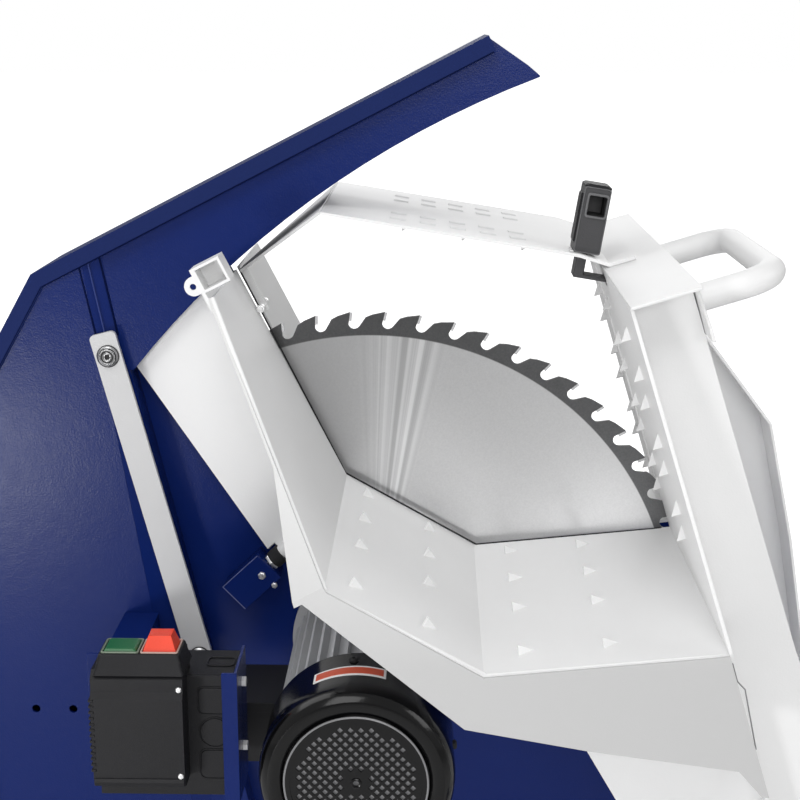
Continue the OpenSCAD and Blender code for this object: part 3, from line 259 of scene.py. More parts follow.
def blade_finish_and_painted_light():
    """Ground saw plate: turned grain, a painted shade darkening one side, painted highlight beams of
    reflected light and a dark ring under the teeth.

    The named spans are radii in metres and angles round the bore in radians."""
    n = Nodes(bpy.data.materials.new("blade_ground_and_painted_light"))
    p = n.coords()
    away = n.vector("SUBTRACT", p, AXIS)
    radius = n.length(n.vector("MULTIPLY", away, (1.0, 0.0, 1.0)))
    turn = n.maths("ARCTAN2", n.split(away)["Z"], n.split(away)["X"])
    grain = n.noise_1d(radius, 2600.0)
    mottle = n.noise(p, 520.0, 4.0, 0.7)

    plate = n.ramp(mottle, [(0.3, (0.68, 0.68, 0.685)), (0.7, (0.75, 0.75, 0.755))])
    # Painted shade: one side of the plate is darker, as the light falls
    side_rise = n.span(turn, *SIDE_RISE, 0.0, 0.85)
    painted_shade_side = n.maths("MULTIPLY", side_rise, n.span(turn, *SIDE_FALL, 1.0, 0.0))
    shade = n.mix(painted_shade_side, plate, (0.33, 0.33, 0.334, 1.0))
    # Painted highlight: bright beams of reflected light within a window of angles
    beam_rise = n.span(turn, *BEAM_RISE, 0.0, 0.9)
    painted_beam_window = n.maths("MULTIPLY", beam_rise, n.span(turn, *BEAM_FALL, 1.0, 0.0))
    beams = n.ramp(n.noise_1d(turn, 38.0), [(0.36, (0.56, 0.56, 0.565)), (0.64, (0.96, 0.96, 0.965))])
    lit = n.mix(painted_beam_window, shade, beams)
    dark = n.ramp(mottle, [(0.3, (0.125, 0.126, 0.129)), (0.7, (0.165, 0.166, 0.169))])

    tangent = n.add("ShaderNodeTangent", direction_type="RADIAL", axis="Y").outputs["Tangent"]
    n.principled(Base_Color=n.mix(n.span(radius, *RING_EDGE, 0.0, 1.0), lit, dark),
                 Roughness=n.span(grain, 0.25, 0.75, 0.30, 0.42),
                 Normal=n.bump(grain, 0.08, 0.0002),
                 Metallic=0.9, Anisotropic=0.85, Tangent=tangent)
    return n.owner


NAVY = paint("navy_paint", (0.0042, 0.0155, 0.115), 0.26, 0.20, specular=0.15, variation=0.03)
# Lighter blue for painted highlights along the buffer bracket's edges
HIGHLIGHT_NAVY = paint("navy_painted_highlight", srgb(96, 104, 150), 0.3, 0.1, specular=0.3)
# Dark blue for painted shade lines along the guard's folds and a painted shadow under its lap
PAINTED_SHADE_NAVY = paint("navy_shade", (0.0012, 0.0045, 0.036), 0.5, 0.1, specular=0.04)
# Painted sheen: the guard rim's copy of the blue paint, greyer and lighter, with its reflection turned down
RIM_SHEEN_NAVY = paint("navy_rim_painted_sheen", (0.0115, 0.0215, 0.098), 0.45, 0.20, specular=0.04, variation=0.03)
# Lighter blue for a painted highlight along the guard's fold
HIGHLIGHT_STEP_NAVY = paint("navy_step_highlight", srgb(52, 64, 118), 0.4, 0.1, specular=0.1)
WHITE = paint("white_paint", (0.82, 0.82, 0.82), 0.38, 0.14, specular=0.4, variation=0.012)
BAR_WHITE = paint("bar_paint", (0.56, 0.56, 0.565), 0.38, 0.14, specular=0.4, variation=0.012)
# Brighter white for painted light: the spikes' lit faces and the shaded rear side plate
LIT_WHITE = paint("lit_white_paint", (0.95, 0.95, 0.95), 0.3, 0.1, variation=0.012)
# The skirt's white, with a painted shade that makes it greyer low down
SKIRT_SHADED_WHITE = skirt_painted_shade()
# Grey for the seam's painted shade in the white paint
SEAM_SHADE_GREY = paint("seam_painted_shade", srgb(128, 128, 130), 0.5, 0.1)
CAST = paint("grey_enamel", srgb(168, 169, 171), 0.42, 0.3, cell=380.0)
BLACK_PAINT = paint("black_enamel", srgb(7, 7, 8), 0.15, 0.08, cell=420.0, specular=0.28)
# Grey for a painted highlight ring at the fan cover's groove
GROOVE_HIGHLIGHT = paint("cover_groove_highlight", srgb(120, 120, 122), 0.25, 0.1, cell=500.0)
SCREEN = paint("screen_grey", srgb(128, 128, 130), 0.5, 0.3, cell=900.0)
BRIGHT = metal("zinc_plate", (0.86, 0.86, 0.86), 0.34, depth=0.1)
DARK_STEEL = metal("dark_steel", (0.42, 0.42, 0.425), 0.3)
BLADE_STEEL_AND_PAINTED_LIGHT = blade_finish_and_painted_light()
CARBIDE = metal("carbide", (0.74, 0.74, 0.75), 0.30)
COPPER = metal("copper_winding", (0.72, 0.33, 0.15), 0.4)
ROTOR = metal("rotor_steel", (0.42, 0.42, 0.43), 0.45)
BRONZE = metal("bronze", (0.62, 0.42, 0.2), 0.38)
CHARCOAL = plastic("charcoal_plastic", srgb(22, 22, 25), 0.46, specular=0.24)
GREY_PLASTIC = plastic("grey_plastic", srgb(62, 62, 64), 0.45, specular=0.35)
BLACK_PLASTIC = plastic("black_plastic", srgb(22, 22, 24), 0.5, specular=0.35)
# Lighter grey for painted highlights on the latch's raised rims
LATCH_HIGHLIGHT = plastic("latch_edge_highlight", srgb(92, 92, 94), 0.35)
GREEN = plastic("green_plastic", srgb(26, 96, 52), 0.32, depth=0.1)
RED = plastic("red_plastic", srgb(228, 62, 30), 0.30, depth=0.1)
RIM = plastic("bezel_plastic", srgb(176, 150, 140), 0.28, depth=0.08)
PALE_GREEN = plastic("pale_green_bezel", srgb(112, 124, 108), 0.3, depth=0.08)
LABEL_WHITE = plastic("label_white", (0.78, 0.78, 0.77), 0.4, depth=0.05)
LABEL_RED = plastic("label_red", srgb(196, 74, 38), 0.42, depth=0.05)
TYRE = rubber("tyre_rubber", srgb(40, 40, 42))
RUBBER = rubber("black_rubber", srgb(34, 34, 36))

SLOT_FINISH = {
    "blue_paint": NAVY, "white_paint": WHITE, "bright_steel": BRIGHT, "blade_steel": BLADE_STEEL_AND_PAINTED_LIGHT,
    "carbide": CARBIDE, "cast_aluminium": CAST, "black_paint": BLACK_PAINT,
    "charcoal_plastic": CHARCOAL, "grey_plastic": GREY_PLASTIC, "black_plastic": BLACK_PLASTIC,
    "green_plastic": GREEN, "red_plastic": RED, "tyre_rubber": TYRE, "black_rubber": RUBBER,
    "copper_winding": COPPER, "rotor_steel": ROTOR, "bronze": BRONZE,
}
# Paints for single nodes, some with painted light: the skirt's painted shade, a brighter white on the shaded
# rear side plate, and the rim's painted sheen
NODE_FINISH_AND_PAINTED_LIGHT = {
    "trough_apron": SKIRT_SHADED_WHITE, "support_bar": BAR_WHITE, "guard_rim": RIM_SHEEN_NAVY,
    "support_bar_bolts": DARK_STEEL, "side_plate_rear": LIT_WHITE,
}
for row in frame["record"]["subparts"]:
    for material_slot in NODES[row["node"]].material_slots:
        material_slot.material = NODE_FINISH_AND_PAINTED_LIGHT.get(row["node"], SLOT_FINISH[row["material_slot"]])

# Softened edges: a mesh is joined, shaded smooth below an angle, and its edges are rounded

JOIN_DISTANCE = 0.00001
SMOOTH_BELOW = math.radians(24)
ROUND_ABOVE = math.radians(30)


def finish_group():
    """Node group that joins coincident vertices and marks sharp edges by their angle."""
    g = bpy.data.node_groups.new("join_and_shade", "GeometryNodeTree")
    g.interface.new_socket("Geometry", in_out="INPUT", socket_type="NodeSocketGeometry")
    g.interface.new_socket("Geometry", in_out="OUTPUT", socket_type="NodeSocketGeometry")
    entry = g.nodes.new("NodeGroupInput")
    drop = g.nodes.new("GeometryNodeRemoveAttribute")
    drop.inputs["Name"].default_value = "custom_normal"
    merge = g.nodes.new("GeometryNodeMergeByDistance")
    merge.inputs["Distance"].default_value = JOIN_DISTANCE
    faces = g.nodes.new("GeometryNodeSetShadeSmooth")
    edges = g.nodes.new("GeometryNodeSetShadeSmooth")
    edges.domain = "EDGE"
    angle = g.nodes.new("GeometryNodeInputMeshEdgeAngle")
    small = g.nodes.new("FunctionNodeCompare")
    small.data_type = "FLOAT"
    small.operation = "LESS_THAN"
    small.inputs["B"].default_value = SMOOTH_BELOW
    g.links.new(angle.outputs["Unsigned Angle"], small.inputs["A"])
    g.links.new(small.outputs["Result"], edges.inputs["Shade Smooth"])
    source = entry.outputs[0]
    for node in (drop, merge, faces, edges):
        g.links.new(source, node.inputs["Geometry"])
        source = node.outputs["Geometry"]
    g.links.new(source, g.nodes.new("NodeGroupOutput").inputs[0])
    return g


FINISH = finish_group()


def soften(o, width, segments=2):
    """Rounded edges with flat faces kept flat."""
    o.modifiers.new("join", "NODES").node_group = FINISH
    bevel = o.modifiers.new("edges", "BEVEL")
    bevel.width = width * MM
    bevel.segments = segments
    bevel.limit_method = "ANGLE"
    bevel.angle_limit = ROUND_ABOVE
    bevel.use_clamp_overlap = True
    flat = o.modifiers.new("flat", "WEIGHTED_NORMAL")
    flat.keep_sharp = True
    flat.weight = 60


FINE_WIDTH = 1.1
EDGES = {
    0.5: ("hold_down_hinge", "switch_screws"),
    0.6: ("arbor_nut",),
    0.8: ("guard_front_plate", "guard_rear_plate", "hold_down_plate", "sector_panel",
          "switch_bracket", "buffer_bracket", "floor_feet", "rail_end_caps"),
    0.9: ("trough_near", "trough_far", "trough_apron", "post_front", "side_plate_rear",
          "support_bar"),
    1.0: ("start_button",),
    1.2: ("guard_rim", "post_cap", "latch", "switch_box", "terminal_box", "stop_button"),
    1.6: ("switch_cover",),
    2.0: ("rail_front", "rail_rear", "crossbar_left", "crossbar_middle", "crossbar_right",
          "pivot_post_front", "pivot_post_rear"),
}
for width, names in EDGES.items():
    for name in names:
        soften(NODES[name], width, 3 if width > FINE_WIDTH else 2)


# Mesh helpers: a shape is a pair of vertices in metres and faces

def piece(name, shape, material, body, edge=0.0, smooth=False):
    """A closed mesh piece that rides a body."""
    verts, faces = shape
    mesh = bpy.data.meshes.new(name)
    mesh.from_pydata([tuple(v) for v in verts], [], faces)
    work = bmesh.new()
    work.from_mesh(mesh)
    bmesh.ops.remove_doubles(work, verts=work.verts, dist=1e-7)
    bmesh.ops.recalc_face_normals(work, faces=work.faces)
    work.to_mesh(mesh)
    work.free()
    mesh.materials.append(material)
    o = bpy.data.objects.new(name, mesh)
    bpy.context.scene.collection.objects.link(o)
    if edge:
        soften(o, edge)
    elif smooth:
        o.modifiers.new("join", "NODES").node_group = FINISH
    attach(o, body)


def loft(rings, capped=True):
    """Skin over rings of equal length, with both ends closed when capped."""
    n = len(rings[0])
    faces = []
    for i in range(len(rings) - 1):
        for k in range(n):
            m = (k + 1) % n
            faces.append((i * n + k, i * n + m, (i + 1) * n + m, (i + 1) * n + k))
    if capped:
        last = (len(rings) - 1) * n
        faces += [tuple(range(n)), tuple(range(last, last + n))]
    return [v for ring in rings for v in ring], faces


def hoop(rings):
    """Skin over rings, the last of which joins the first."""
    return loft(rings + rings[:1], capped=False)


def merged(shapes):
    verts, faces = [], []
    for v, f in shapes:
        faces += [tuple(i + len(verts) for i in face) for face in f]
        verts += v
    return verts, faces


def turns(steps):
    """Cosine and sine of the steps of a full turn."""
    angles = [2 * math.pi * k / steps for k in range(steps)]
    return [(math.cos(a), math.sin(a)) for a in angles]


def rounded(x0, x1, z0, z1, r, steps=5):
    """Outline of a rectangle with rounded corners."""
    out = []
    for cx, cz, a0 in ((x1 - r, z1 - r, 0), (x0 + r, z1 - r, 90),
                       (x0 + r, z0 + r, 180), (x1 - r, z0 + r, 270)):
        for k in range(steps + 1):
            a = math.radians(a0 + 90 * k / steps)
            out.append((cx + r * math.cos(a), cz + r * math.sin(a)))
    return out


def inset(box, k):
    """A box (x0, x1, y0, y1) that is smaller by k on each side."""
    x0, x1, y0, y1 = box
    return x0 + k, x1 - k, y0 + k, y1 - k


def circle(x, z, r, steps=48):
    return [(x + r * c, z + r * s) for c, s in turns(steps)]


def upright(outline, y):
    """An outline or a path in X and Z, at one depth."""
    return [at(x, y, z) for x, z in outline]


def level(outline, z):
    """An outline in X and Y, at one height."""
    return [at(x, y, z) for x, y in outline]


def plate_y(outline, y0, y1):
    return loft([upright(outline, y) for y in (y0, y1)])


def block(x0, x1, y0, y1, z0, z1):
    return plate_y([(x0, z0), (x1, z0), (x1, z1), (x0, z1)], y0, y1)


def stacked(box, r, levels, place):
    """Solid with the rounded box at each (inset, level); place sets an outline at a level."""
    return loft([place(rounded(*inset(box, k), r), at_level) for k, at_level in levels])


def rim_of(outer, inner, a, b, place):
    """Frame between two outlines of equal length, from a to b; place sets an outline at a or b."""
    return hoop([place(outer, a), place(outer, b), place(inner, b), place(inner, a)])


def revolved(profile, centre, axis, steps):
    """Rings round an axis, one for each (radius, distance along the axis), in millimetres."""
    z = Vector(axis).normalized()
    u = z.orthogonal().normalized()
    v = z.cross(u)
    return [[centre + (z * d + (u * c + v * s) * max(r, 0.001)) * MM for c, s in turns(steps)]
            for r, d in profile]


def lathe(profile, centre, axis, steps):
    """Solid of revolution."""
    return loft(revolved(profile, centre, axis, steps))


def ring(profile, centre, axis, steps=36):
    """Ring of revolution with a closed profile."""
    return hoop(revolved(profile, centre, axis, steps))


def tube(path, r, steps):
    """Round bar along a path of points in metres, mitred at its bends."""
    rings = []
    for i, p in enumerate(path):
        before = (p - path[i - 1]).normalized() if i else (path[1] - p).normalized()
        after = (path[i + 1] - p).normalized() if i < len(path) - 1 else before
        along = (before + after).normalized()
        stretch = 1.0 / max(0.3, along.dot(after))
        side = Vector((0, -1, 0)).cross(along).normalized()
        ahead = along.cross(side).normalized()
        rings.append([p + (side * c * stretch + ahead * s) * r * MM for c, s in turns(steps)])
    return loft(rings)


# Switch: boxes are (x0, x1, y0, y1), those of the knock-outs (x0, x1, z0, z1) and each with its corner
# radius; the collar's levels are its height and box, and the divider has its heights after its box

DECK_Z = 102.6
COLLAR_LEVELS = ((84.5, -234.0, -152.0, -327.5, -279.0), (91.0, -231.5, -154.5, -324.5, -281.0),
                 (DECK_Z, -229.0, -157.0, -320.0, -284.4))
COLLAR_HOLE = (-226.3, -159.7, -316.3, -287.7)
COLLAR_HOLE_Z = 90.0
DIVIDER = (-194.8, -191.2, -316.5, -287.5, 96.5, DECK_Z)
BEZELS = (("start_bezel", (-227.4, -193.6, -317.8, -286.2), PALE_GREEN),
          ("stop_bezel", (-192.4, -158.6, -317.8, -286.2), RIM))
BEZEL_WALL = 1.7
BEZEL_Z = (102.2, 103.9)
PAD_BOX = (-225.0, -196.0, -315.4, -288.6)
PAD_LEVELS = ((0, 100.6), (0, 103.6), (1.8, 105.4))
COVER_SCREW_X = -157.6
COVER_SCREW_PLACES = ((-325.8, 72.0), (-329.8, -9.5))
KNOCKOUT_BOXES = ((-144.0, -118.5, 39.0, 63.5, 4.5), (-143.5, -118.5, -24.5, 2.5, 5.5))
KNOCKOUT_ROUND = (-130.0, 20.5)
KNOCKOUT_R = 13.4
KNOCKOUT_Y = (-302.8, -304.2)
KNOCKOUT_RIM_BOXES = (((-145.6, -116.9, 37.4, 65.1), 6.0), ((-145.1, -116.9, -26.1, 4.1), 7.0))
KNOCKOUT_RIM_R = 15.0
KNOCKOUT_RIM_WALL = 0.8
KNOCKOUT_RIM_Y = (-302.8, -303.8)
TOP_RIM_BOX = (-140.0, -114.0, -282.0, -262.0)
TOP_RIM_WALL = 1.6
TOP_RIM_Z = (74.8, 76.2)
LIP_X = (-235.5, -154.5)
LIP_PROFILE = ((-326.5, -21.5), (-330.6, -19.5), (-331.8, -15.5), (-331.0, -12.0), (-328.5, -12.5))
RIB_BOX = (-237.6, -233.0, -330.9, -304.0)
RIB_COUNT = 13
RIB_PITCH = 5.6
RIB_HEIGHT = 2.4
RIB_LOWEST = -6
SCREW_R = 2.8
SCREW_H = 2.0
SCREW_PROFILE = [(0.0, 0.3), (SCREW_R * 0.34, 0.3), (SCREW_R * 0.42, SCREW_H),
                 (SCREW_R * 0.72, SCREW_H * 0.96), (SCREW_R * 0.95, SCREW_H * 0.6), (SCREW_R, 0.0),
                 (SCREW_R, -0.5)]


def dress_switch():
    """Collar round the buttons, bezels, the start button's pad, screws, ribs, lip and knock-outs."""
    collar = [level(rounded(*box, 3.0), z) for z, *box in COLLAR_LEVELS]
    collar += [level(rounded(*COLLAR_HOLE, 1.2), z) for z in (DECK_Z, COLLAR_HOLE_Z)]
    shapes = [hoop(collar), block(*DIVIDER)]
    piece("switch_collar", merged(shapes), CHARCOAL, ROOT, edge=1.2)

    for name, box, finish in BEZELS:
        bezel = rim_of(rounded(*box, 2.4), rounded(*inset(box, BEZEL_WALL), 1.2), *BEZEL_Z, level)
        piece(name, bezel, finish, ROOT, edge=0.5)
    pad = stacked(PAD_BOX, 2.0, PAD_LEVELS, level)
    piece("start_button_pad", pad, GREEN, "start_button", edge=0.5)

    screws = [lathe(SCREW_PROFILE, at(COVER_SCREW_X, y, z), FRONT, 28) for y, z in COVER_SCREW_PLACES]
    piece("switch_cover_screws", merged(screws), BRIGHT, ROOT, smooth=True)
    bottoms = [RIB_LOWEST + RIB_PITCH * i for i in range(RIB_COUNT)]
    ribs = [block(*RIB_BOX, z, z + RIB_HEIGHT) for z in bottoms]
    piece("switch_ribs", merged(ribs), CHARCOAL, ROOT, edge=0.6)
    lip = [[at(x, y, z) for y, z in LIP_PROFILE] for x in LIP_X]
    piece("switch_lip", loft(lip), CHARCOAL, ROOT, edge=0.7)

    outlines = [rounded(*box) for box in KNOCKOUT_BOXES] + [circle(*KNOCKOUT_ROUND, KNOCKOUT_R)]
    knockouts = merged([plate_y(outline, *KNOCKOUT_Y) for outline in outlines])
    piece("switch_knockouts", knockouts, CHARCOAL, ROOT, edge=0.6)
    wall = KNOCKOUT_RIM_WALL
    pairs = [(rounded(*box, r), rounded(*inset(box, wall), r - wall)) for box, r in KNOCKOUT_RIM_BOXES]
    pairs.append([circle(*KNOCKOUT_ROUND, r) for r in (KNOCKOUT_RIM_R, KNOCKOUT_RIM_R - wall)])
    rims = merged([rim_of(*pair, *KNOCKOUT_RIM_Y, upright) for pair in pairs])
    piece("switch_knockout_rims", rims, CHARCOAL, ROOT, edge=0.2)
    inner = rounded(*inset(TOP_RIM_BOX, TOP_RIM_WALL), 4.0)
    top_rim = rim_of(rounded(*TOP_RIM_BOX, 5.0), inner, *TOP_RIM_Z, level)
    piece("switch_top_rim", top_rim, CHARCOAL, ROOT, edge=0.4)


# Motor: profiles are (radius, distance toward the camera) round the motor's axis

ROLL_PROFILE = [(64.0, 353.2), (65.2, 356.2), (68.4, 358.6), (73.0, 359.6), (77.6, 358.7), (81.6, 355.8),
                (84.7, 350.8), (86.4, 344.5), (86.9, 338.0), (86.9, 331.0), (85.5, 330.4), (85.2, 340.0),
                (72.0, 353.0)]
GROOVE_PROFILE = [(62.0, 357.5), (62.0, 358.5), (62.8, 358.9), (63.6, 358.5), (63.6, 357.2)]
SCREEN_PROFILE = [(0.0, 350.6), (57.4, 350.6), (57.4, 353.9), (55.5, 354.4), (52.0, 354.6), (14.0, 354.6),
                  (12.5, 353.2), (9.0, 353.2), (7.0, 354.4), (0.0, 354.4)]
EYELET_PROFILE = [(2.8, 356.8), (2.8, 358.2), (3.8, 358.5), (4.8, 358.0), (5.0, 356.8)]
COVER_SCREW_PROFILE = [(0.0, 1.2), (1.4, 1.2), (1.7, 2.8), (3.2, 2.6), (4.2, 1.4), (4.4, 0.0), (4.4, -0.6)]
COVER_SCREW_ANGLES = (-3, 87, 177, 267)
COVER_R = 86
COVER_SCREW_Y = -291
COVER_STEPS = 96
LABEL_R = (85.8, 86.5)
LABEL_ANGLES = (-27, 17)
LABEL_Y = (-322.0, -303.0)
STRIPE_R = (86.3, 86.8)
STRIPE_ANGLES = (-25.4, 15.4)
STRIPE_Y = (LABEL_Y[0] + 3.0, LABEL_Y[1] - 3.2)


def bent_plate(r0, r1, a0, a1, y0, y1, steps=24):
    """Plate bent round the motor's axis, angles from straight up."""
    rings = []
    for k in range(steps + 1):
        a = math.radians(a0 + (a1 - a0) * k / steps)
        corners = ((r0, y0), (r1, y0), (r1, y1), (r0, y1))
        rings.append([at(r * math.sin(a), y, r * math.cos(a)) for r, y in corners])
    return loft(rings)


def dress_motor():
    """Rolled front edge of the fan cover, a grey ring at its groove as a painted highlight, wire screen, bare
    label and screws.
    """
    roll = ring(ROLL_PROFILE, AXIS, FRONT, COVER_STEPS)
    piece("fan_cover_roll", roll, BLACK_PAINT, ROOT, smooth=True)
    # Painted highlight: a grey ring on the black cover
    groove = ring(GROOVE_PROFILE, AXIS, FRONT, COVER_STEPS)
    piece("fan_cover_groove", groove, GROOVE_HIGHLIGHT, ROOT, smooth=True)
    screen = lathe(SCREEN_PROFILE, AXIS, FRONT, 72)
    piece("fan_cover_screen", screen, SCREEN, ROOT, smooth=True)
    label = bent_plate(*LABEL_R, *LABEL_ANGLES, *LABEL_Y)
    piece("motor_label", label, LABEL_WHITE, ROOT, edge=0.2)
    stripe = bent_plate(*STRIPE_R, *STRIPE_ANGLES, *STRIPE_Y)
    piece("motor_label_stripe", stripe, LABEL_RED, ROOT, edge=0.15)
    screws = []
    for a in COVER_SCREW_ANGLES:
        out = (math.sin(math.radians(a)), 0, math.cos(math.radians(a)))
        foot = at(COVER_R * out[0], COVER_SCREW_Y, COVER_R * out[2])
        screws.append(lathe(COVER_SCREW_PROFILE, foot, out, 24))
    piece("fan_cover_screws", merged(screws), BLACK_PLASTIC, ROOT, smooth=True)
    eyelet = ring(EYELET_PROFILE, AXIS, FRONT)
    piece("grille_eyelet", eyelet, BLACK_PAINT, ROOT, smooth=True)


# Support bar

BAR_BOLTS = ((-262.0, 317.0), (-180.0, -8.0))
WASHER_PROFILES = (
    [(8.2, 73.4), (8.2, 75.4), (8.8, 76.0), (9.6, 75.6), (10.6, 74.6), (10.6, 73.4)],
    [(3.6, 77.6), (3.6, 78.9), (4.3, 79.3), (4.9, 78.9), (5.0, 77.8)],
    [(6.3, 77.6), (6.4, 78.8), (7.0, 79.1), (7.7, 78.5), (7.9, 77.4)])
# Painted shade: dark rings between the raised rings, and a dark disc for the socket
GROOVE_SHADE_PROFILES = (
    [(10.4, 73.2), (10.4, 74.3), (11.4, 74.3), (11.4, 73.2)],
    [(7.2, 75.0), (7.2, 76.6), (8.5, 76.6), (8.5, 75.0)],
    [(4.9, 77.6), (4.9, 78.5), (6.4, 78.5), (6.4, 77.6)])
SOCKET_SHADE_PROFILE = [(0.0, 77.0), (2.7, 77.0), (3.0, 76.6), (3.0, 75.5)]


def dress_bar_bolts():
    """Washer and raised rings on each bolt head, with painted shade: dark rings between the raised rings and
    a dark disc as the socket's shadow.
    """
    washers, groove_shades = [], []
    for x, z in BAR_BOLTS:
        centre = at(x, 0, z)
        washers += [ring(profile, centre, FRONT) for profile in WASHER_PROFILES]
        groove_shades += [ring(profile, centre, FRONT) for profile in GROOVE_SHADE_PROFILES]
        groove_shades.append(lathe(SOCKET_SHADE_PROFILE, centre, FRONT, 24))
    piece("bar_bolt_washers", merged(washers), DARK_STEEL, ROOT, smooth=True)
    piece("bar_bolt_groove_shades", merged(groove_shades), BLACK_PLASTIC, ROOT, smooth=True)


# Buffer

BUFFER_ANGLE = math.radians(43.8)
BUFFER_AXIS = (math.cos(BUFFER_ANGLE), 0, math.sin(BUFFER_ANGLE))
BUFFER_FOOT = at(-105.5, -49.0, 89.0)
NUT_PROFILE = [(6.0, 0.4), (8.9, 0.6), (9.6, 1.4), (9.6, 4.4), (8.9, 5.2), (6.0, 5.3)]
BRACKET_SCREWS = ((-113.5, 79.0, 4.4), (-100.5, 68.5, 3.4))
PLATE_FRONT_Y = -60.0


def dress_buffer():
    """Hexagon nut under the rubber, and two screw heads on the bracket."""
    nut = lathe(NUT_PROFILE, BUFFER_FOOT, BUFFER_AXIS, 6)
    piece("buffer_nut", nut, BRIGHT, ROOT, edge=0.5)
    heads = [lathe([(0.0, 2.6), (r * 0.7, 2.6), (r, 1.9), (r, -0.6)], at(x, PLATE_FRONT_Y, z), FRONT, 6)
             for x, z, r in BRACKET_SCREWS]
    piece("buffer_bracket_screws", merged(heads), BRIGHT, ROOT, edge=0.3)


# Painted shade and highlight lines along the guard's folds and under its lap, and painted highlights on the
# bracket's edges: thin rods, each path at its own depth

FOLD_LINES = (
    # Painted highlight: a light rod between the fold's shade lines
    ("guard_fold_highlight", HIGHLIGHT_STEP_NAVY, 0.8, ((-66.6, ((-279.6, 411.6), (-265.9, 340.0))),)),
    # Painted shade: dark rods along the folds
    ("guard_fold_shade_lines", PAINTED_SHADE_NAVY, 1.0, ((-67.9, ((-288.5, 408.5), (-274.6, 338.0))),
                                          (-60.6, ((-269.2, 416.5), (-253.6, 336.0))))),
    # Painted shadow: a dark rod under the lap's lower edge
    ("guard_lap_shadow_line", PAINTED_SHADE_NAVY, 0.8, ((-70.9, ((121.5, 615.6), (-326.4, 386.7), (-408.3, 244.8))),)),
    # Painted highlights: light rods along the bracket's edges
    ("buffer_bracket_edge_highlights", HIGHLIGHT_NAVY, 0.5, ((PLATE_FRONT_Y, ((-155.2, 65.6), (-118.0, 100.6))),
                                               (PLATE_FRONT_Y, ((-155.2, 65.6), (-132.0, 41.2))))),
)


def draw_fold_lines():
    """One piece for each row of the table, with a rod along each of its paths."""
    for name, finish, r, paths in FOLD_LINES:
        rods = [tube(upright(points, y), r, 8) for y, points in paths]
        piece(name, merged(rods), finish, ROOT, smooth=True)


# Trough

CORNER_LOW = (110.0, 98.0)
FLOOR_ANGLES = {1: math.radians(5.86), -1: math.radians(150.2)}
TOOTH_TURN = math.radians(36.0)
TOOTH_CORNERS = ((-0.4, -0.1), (16.8, -0.1), (-0.4, 9.6))
TOOTH_SKIN = (0.8, 1.35)
TOOTH_ROWS = (-310.0, -208.0, -130.0, -50.0, 50.0, 130.0)
TOOTH_PLACES = ((1, 32.0), (1, 107.0), (-1, 61.0), (-1, 135.0))
BEAD_R = 2.3
BEAD_Y = -345.6
BEAD_START = (-137.0, -192.0, 398.0)
BEAD_POINTS = ((-25.0, 172.6), (112.4, 97.2), (319.0, 117.8))
# Painted shadow of the gap at the trough's slot: a dark rod
SLOT_SHADOW_R = 0.9
SLOT_SHADOW_Y = -12.6
SLOT_SHADOW_POINTS = ((-135.0, 396.0), (-27.2, 177.8), (112.6, 98.6), (310.0, 118.6))
SEAM_R = 0.6
SEAM_Y = -348.3
SEAM_POINTS = ((322.0, 112.0), (327.0, 95.4), (334.0, 88.0), (346.5, 32.0))


def tooth_lit_face(side, s0, y0):
    """Thin triangle of brighter paint on the camera side of a floor spike, a painted highlight on its lit
    face; side is 1 right of the fold, -1 left of it.
    """
    a = FLOOR_ANGLES[side]
    along = (side * math.cos(TOOTH_TURN), math.sin(TOOTH_TURN))
    out = (side * math.sin(TOOTH_TURN), -math.cos(TOOTH_TURN))
    rings = []
    for d in TOOTH_SKIN:
        corners = []
        for u, h in TOOTH_CORNERS:
            s = s0 + along[0] * u + out[0] * d
            corners.append(at(CORNER_LOW[0] + s * math.cos(a) - side * h * math.sin(a),
                              y0 + along[1] * u + out[1] * d,
                              CORNER_LOW[1] + s * math.sin(a) + side * h * math.cos(a)))
        rings.append(corners)
    return loft(rings)


def dress_trough():
    """Rolled bead along the skirt's top edge, brighter faces as painted highlights on the floor's spikes, a
    dark rod as the slot gap's painted shadow, and a grey rod as the seam's painted shade.
    """
    bead = tube([at(*BEAD_START)] + upright(BEAD_POINTS, BEAD_Y), BEAD_R, 16)
    piece("trough_bead", bead, WHITE, "cradle", smooth=True)
    teeth = [tooth_lit_face(side, s0, y0) for y0 in TOOTH_ROWS for side, s0 in TOOTH_PLACES]
    # Painted highlight: brighter faces on the spikes
    piece("floor_spike_lit_faces", merged(teeth), LIT_WHITE, "cradle")
    # Painted shadow: a dark rod along the slot's edge, where the gap shows dark
    gap_shadow = tube(upright(SLOT_SHADOW_POINTS, SLOT_SHADOW_Y), SLOT_SHADOW_R, 10)
    piece("slot_gap_shadow", gap_shadow, RUBBER, "cradle", smooth=True)
    # Painted shade: a grey rod along the seam between post and skirt
    seam = tube(upright(SEAM_POINTS, SEAM_Y), SEAM_R, 8)
    piece("skirt_seam", seam, SEAM_SHADE_GREY, "cradle", smooth=True)


# Hold-down plate and latch: places are along the plate from its bend, and above its underside

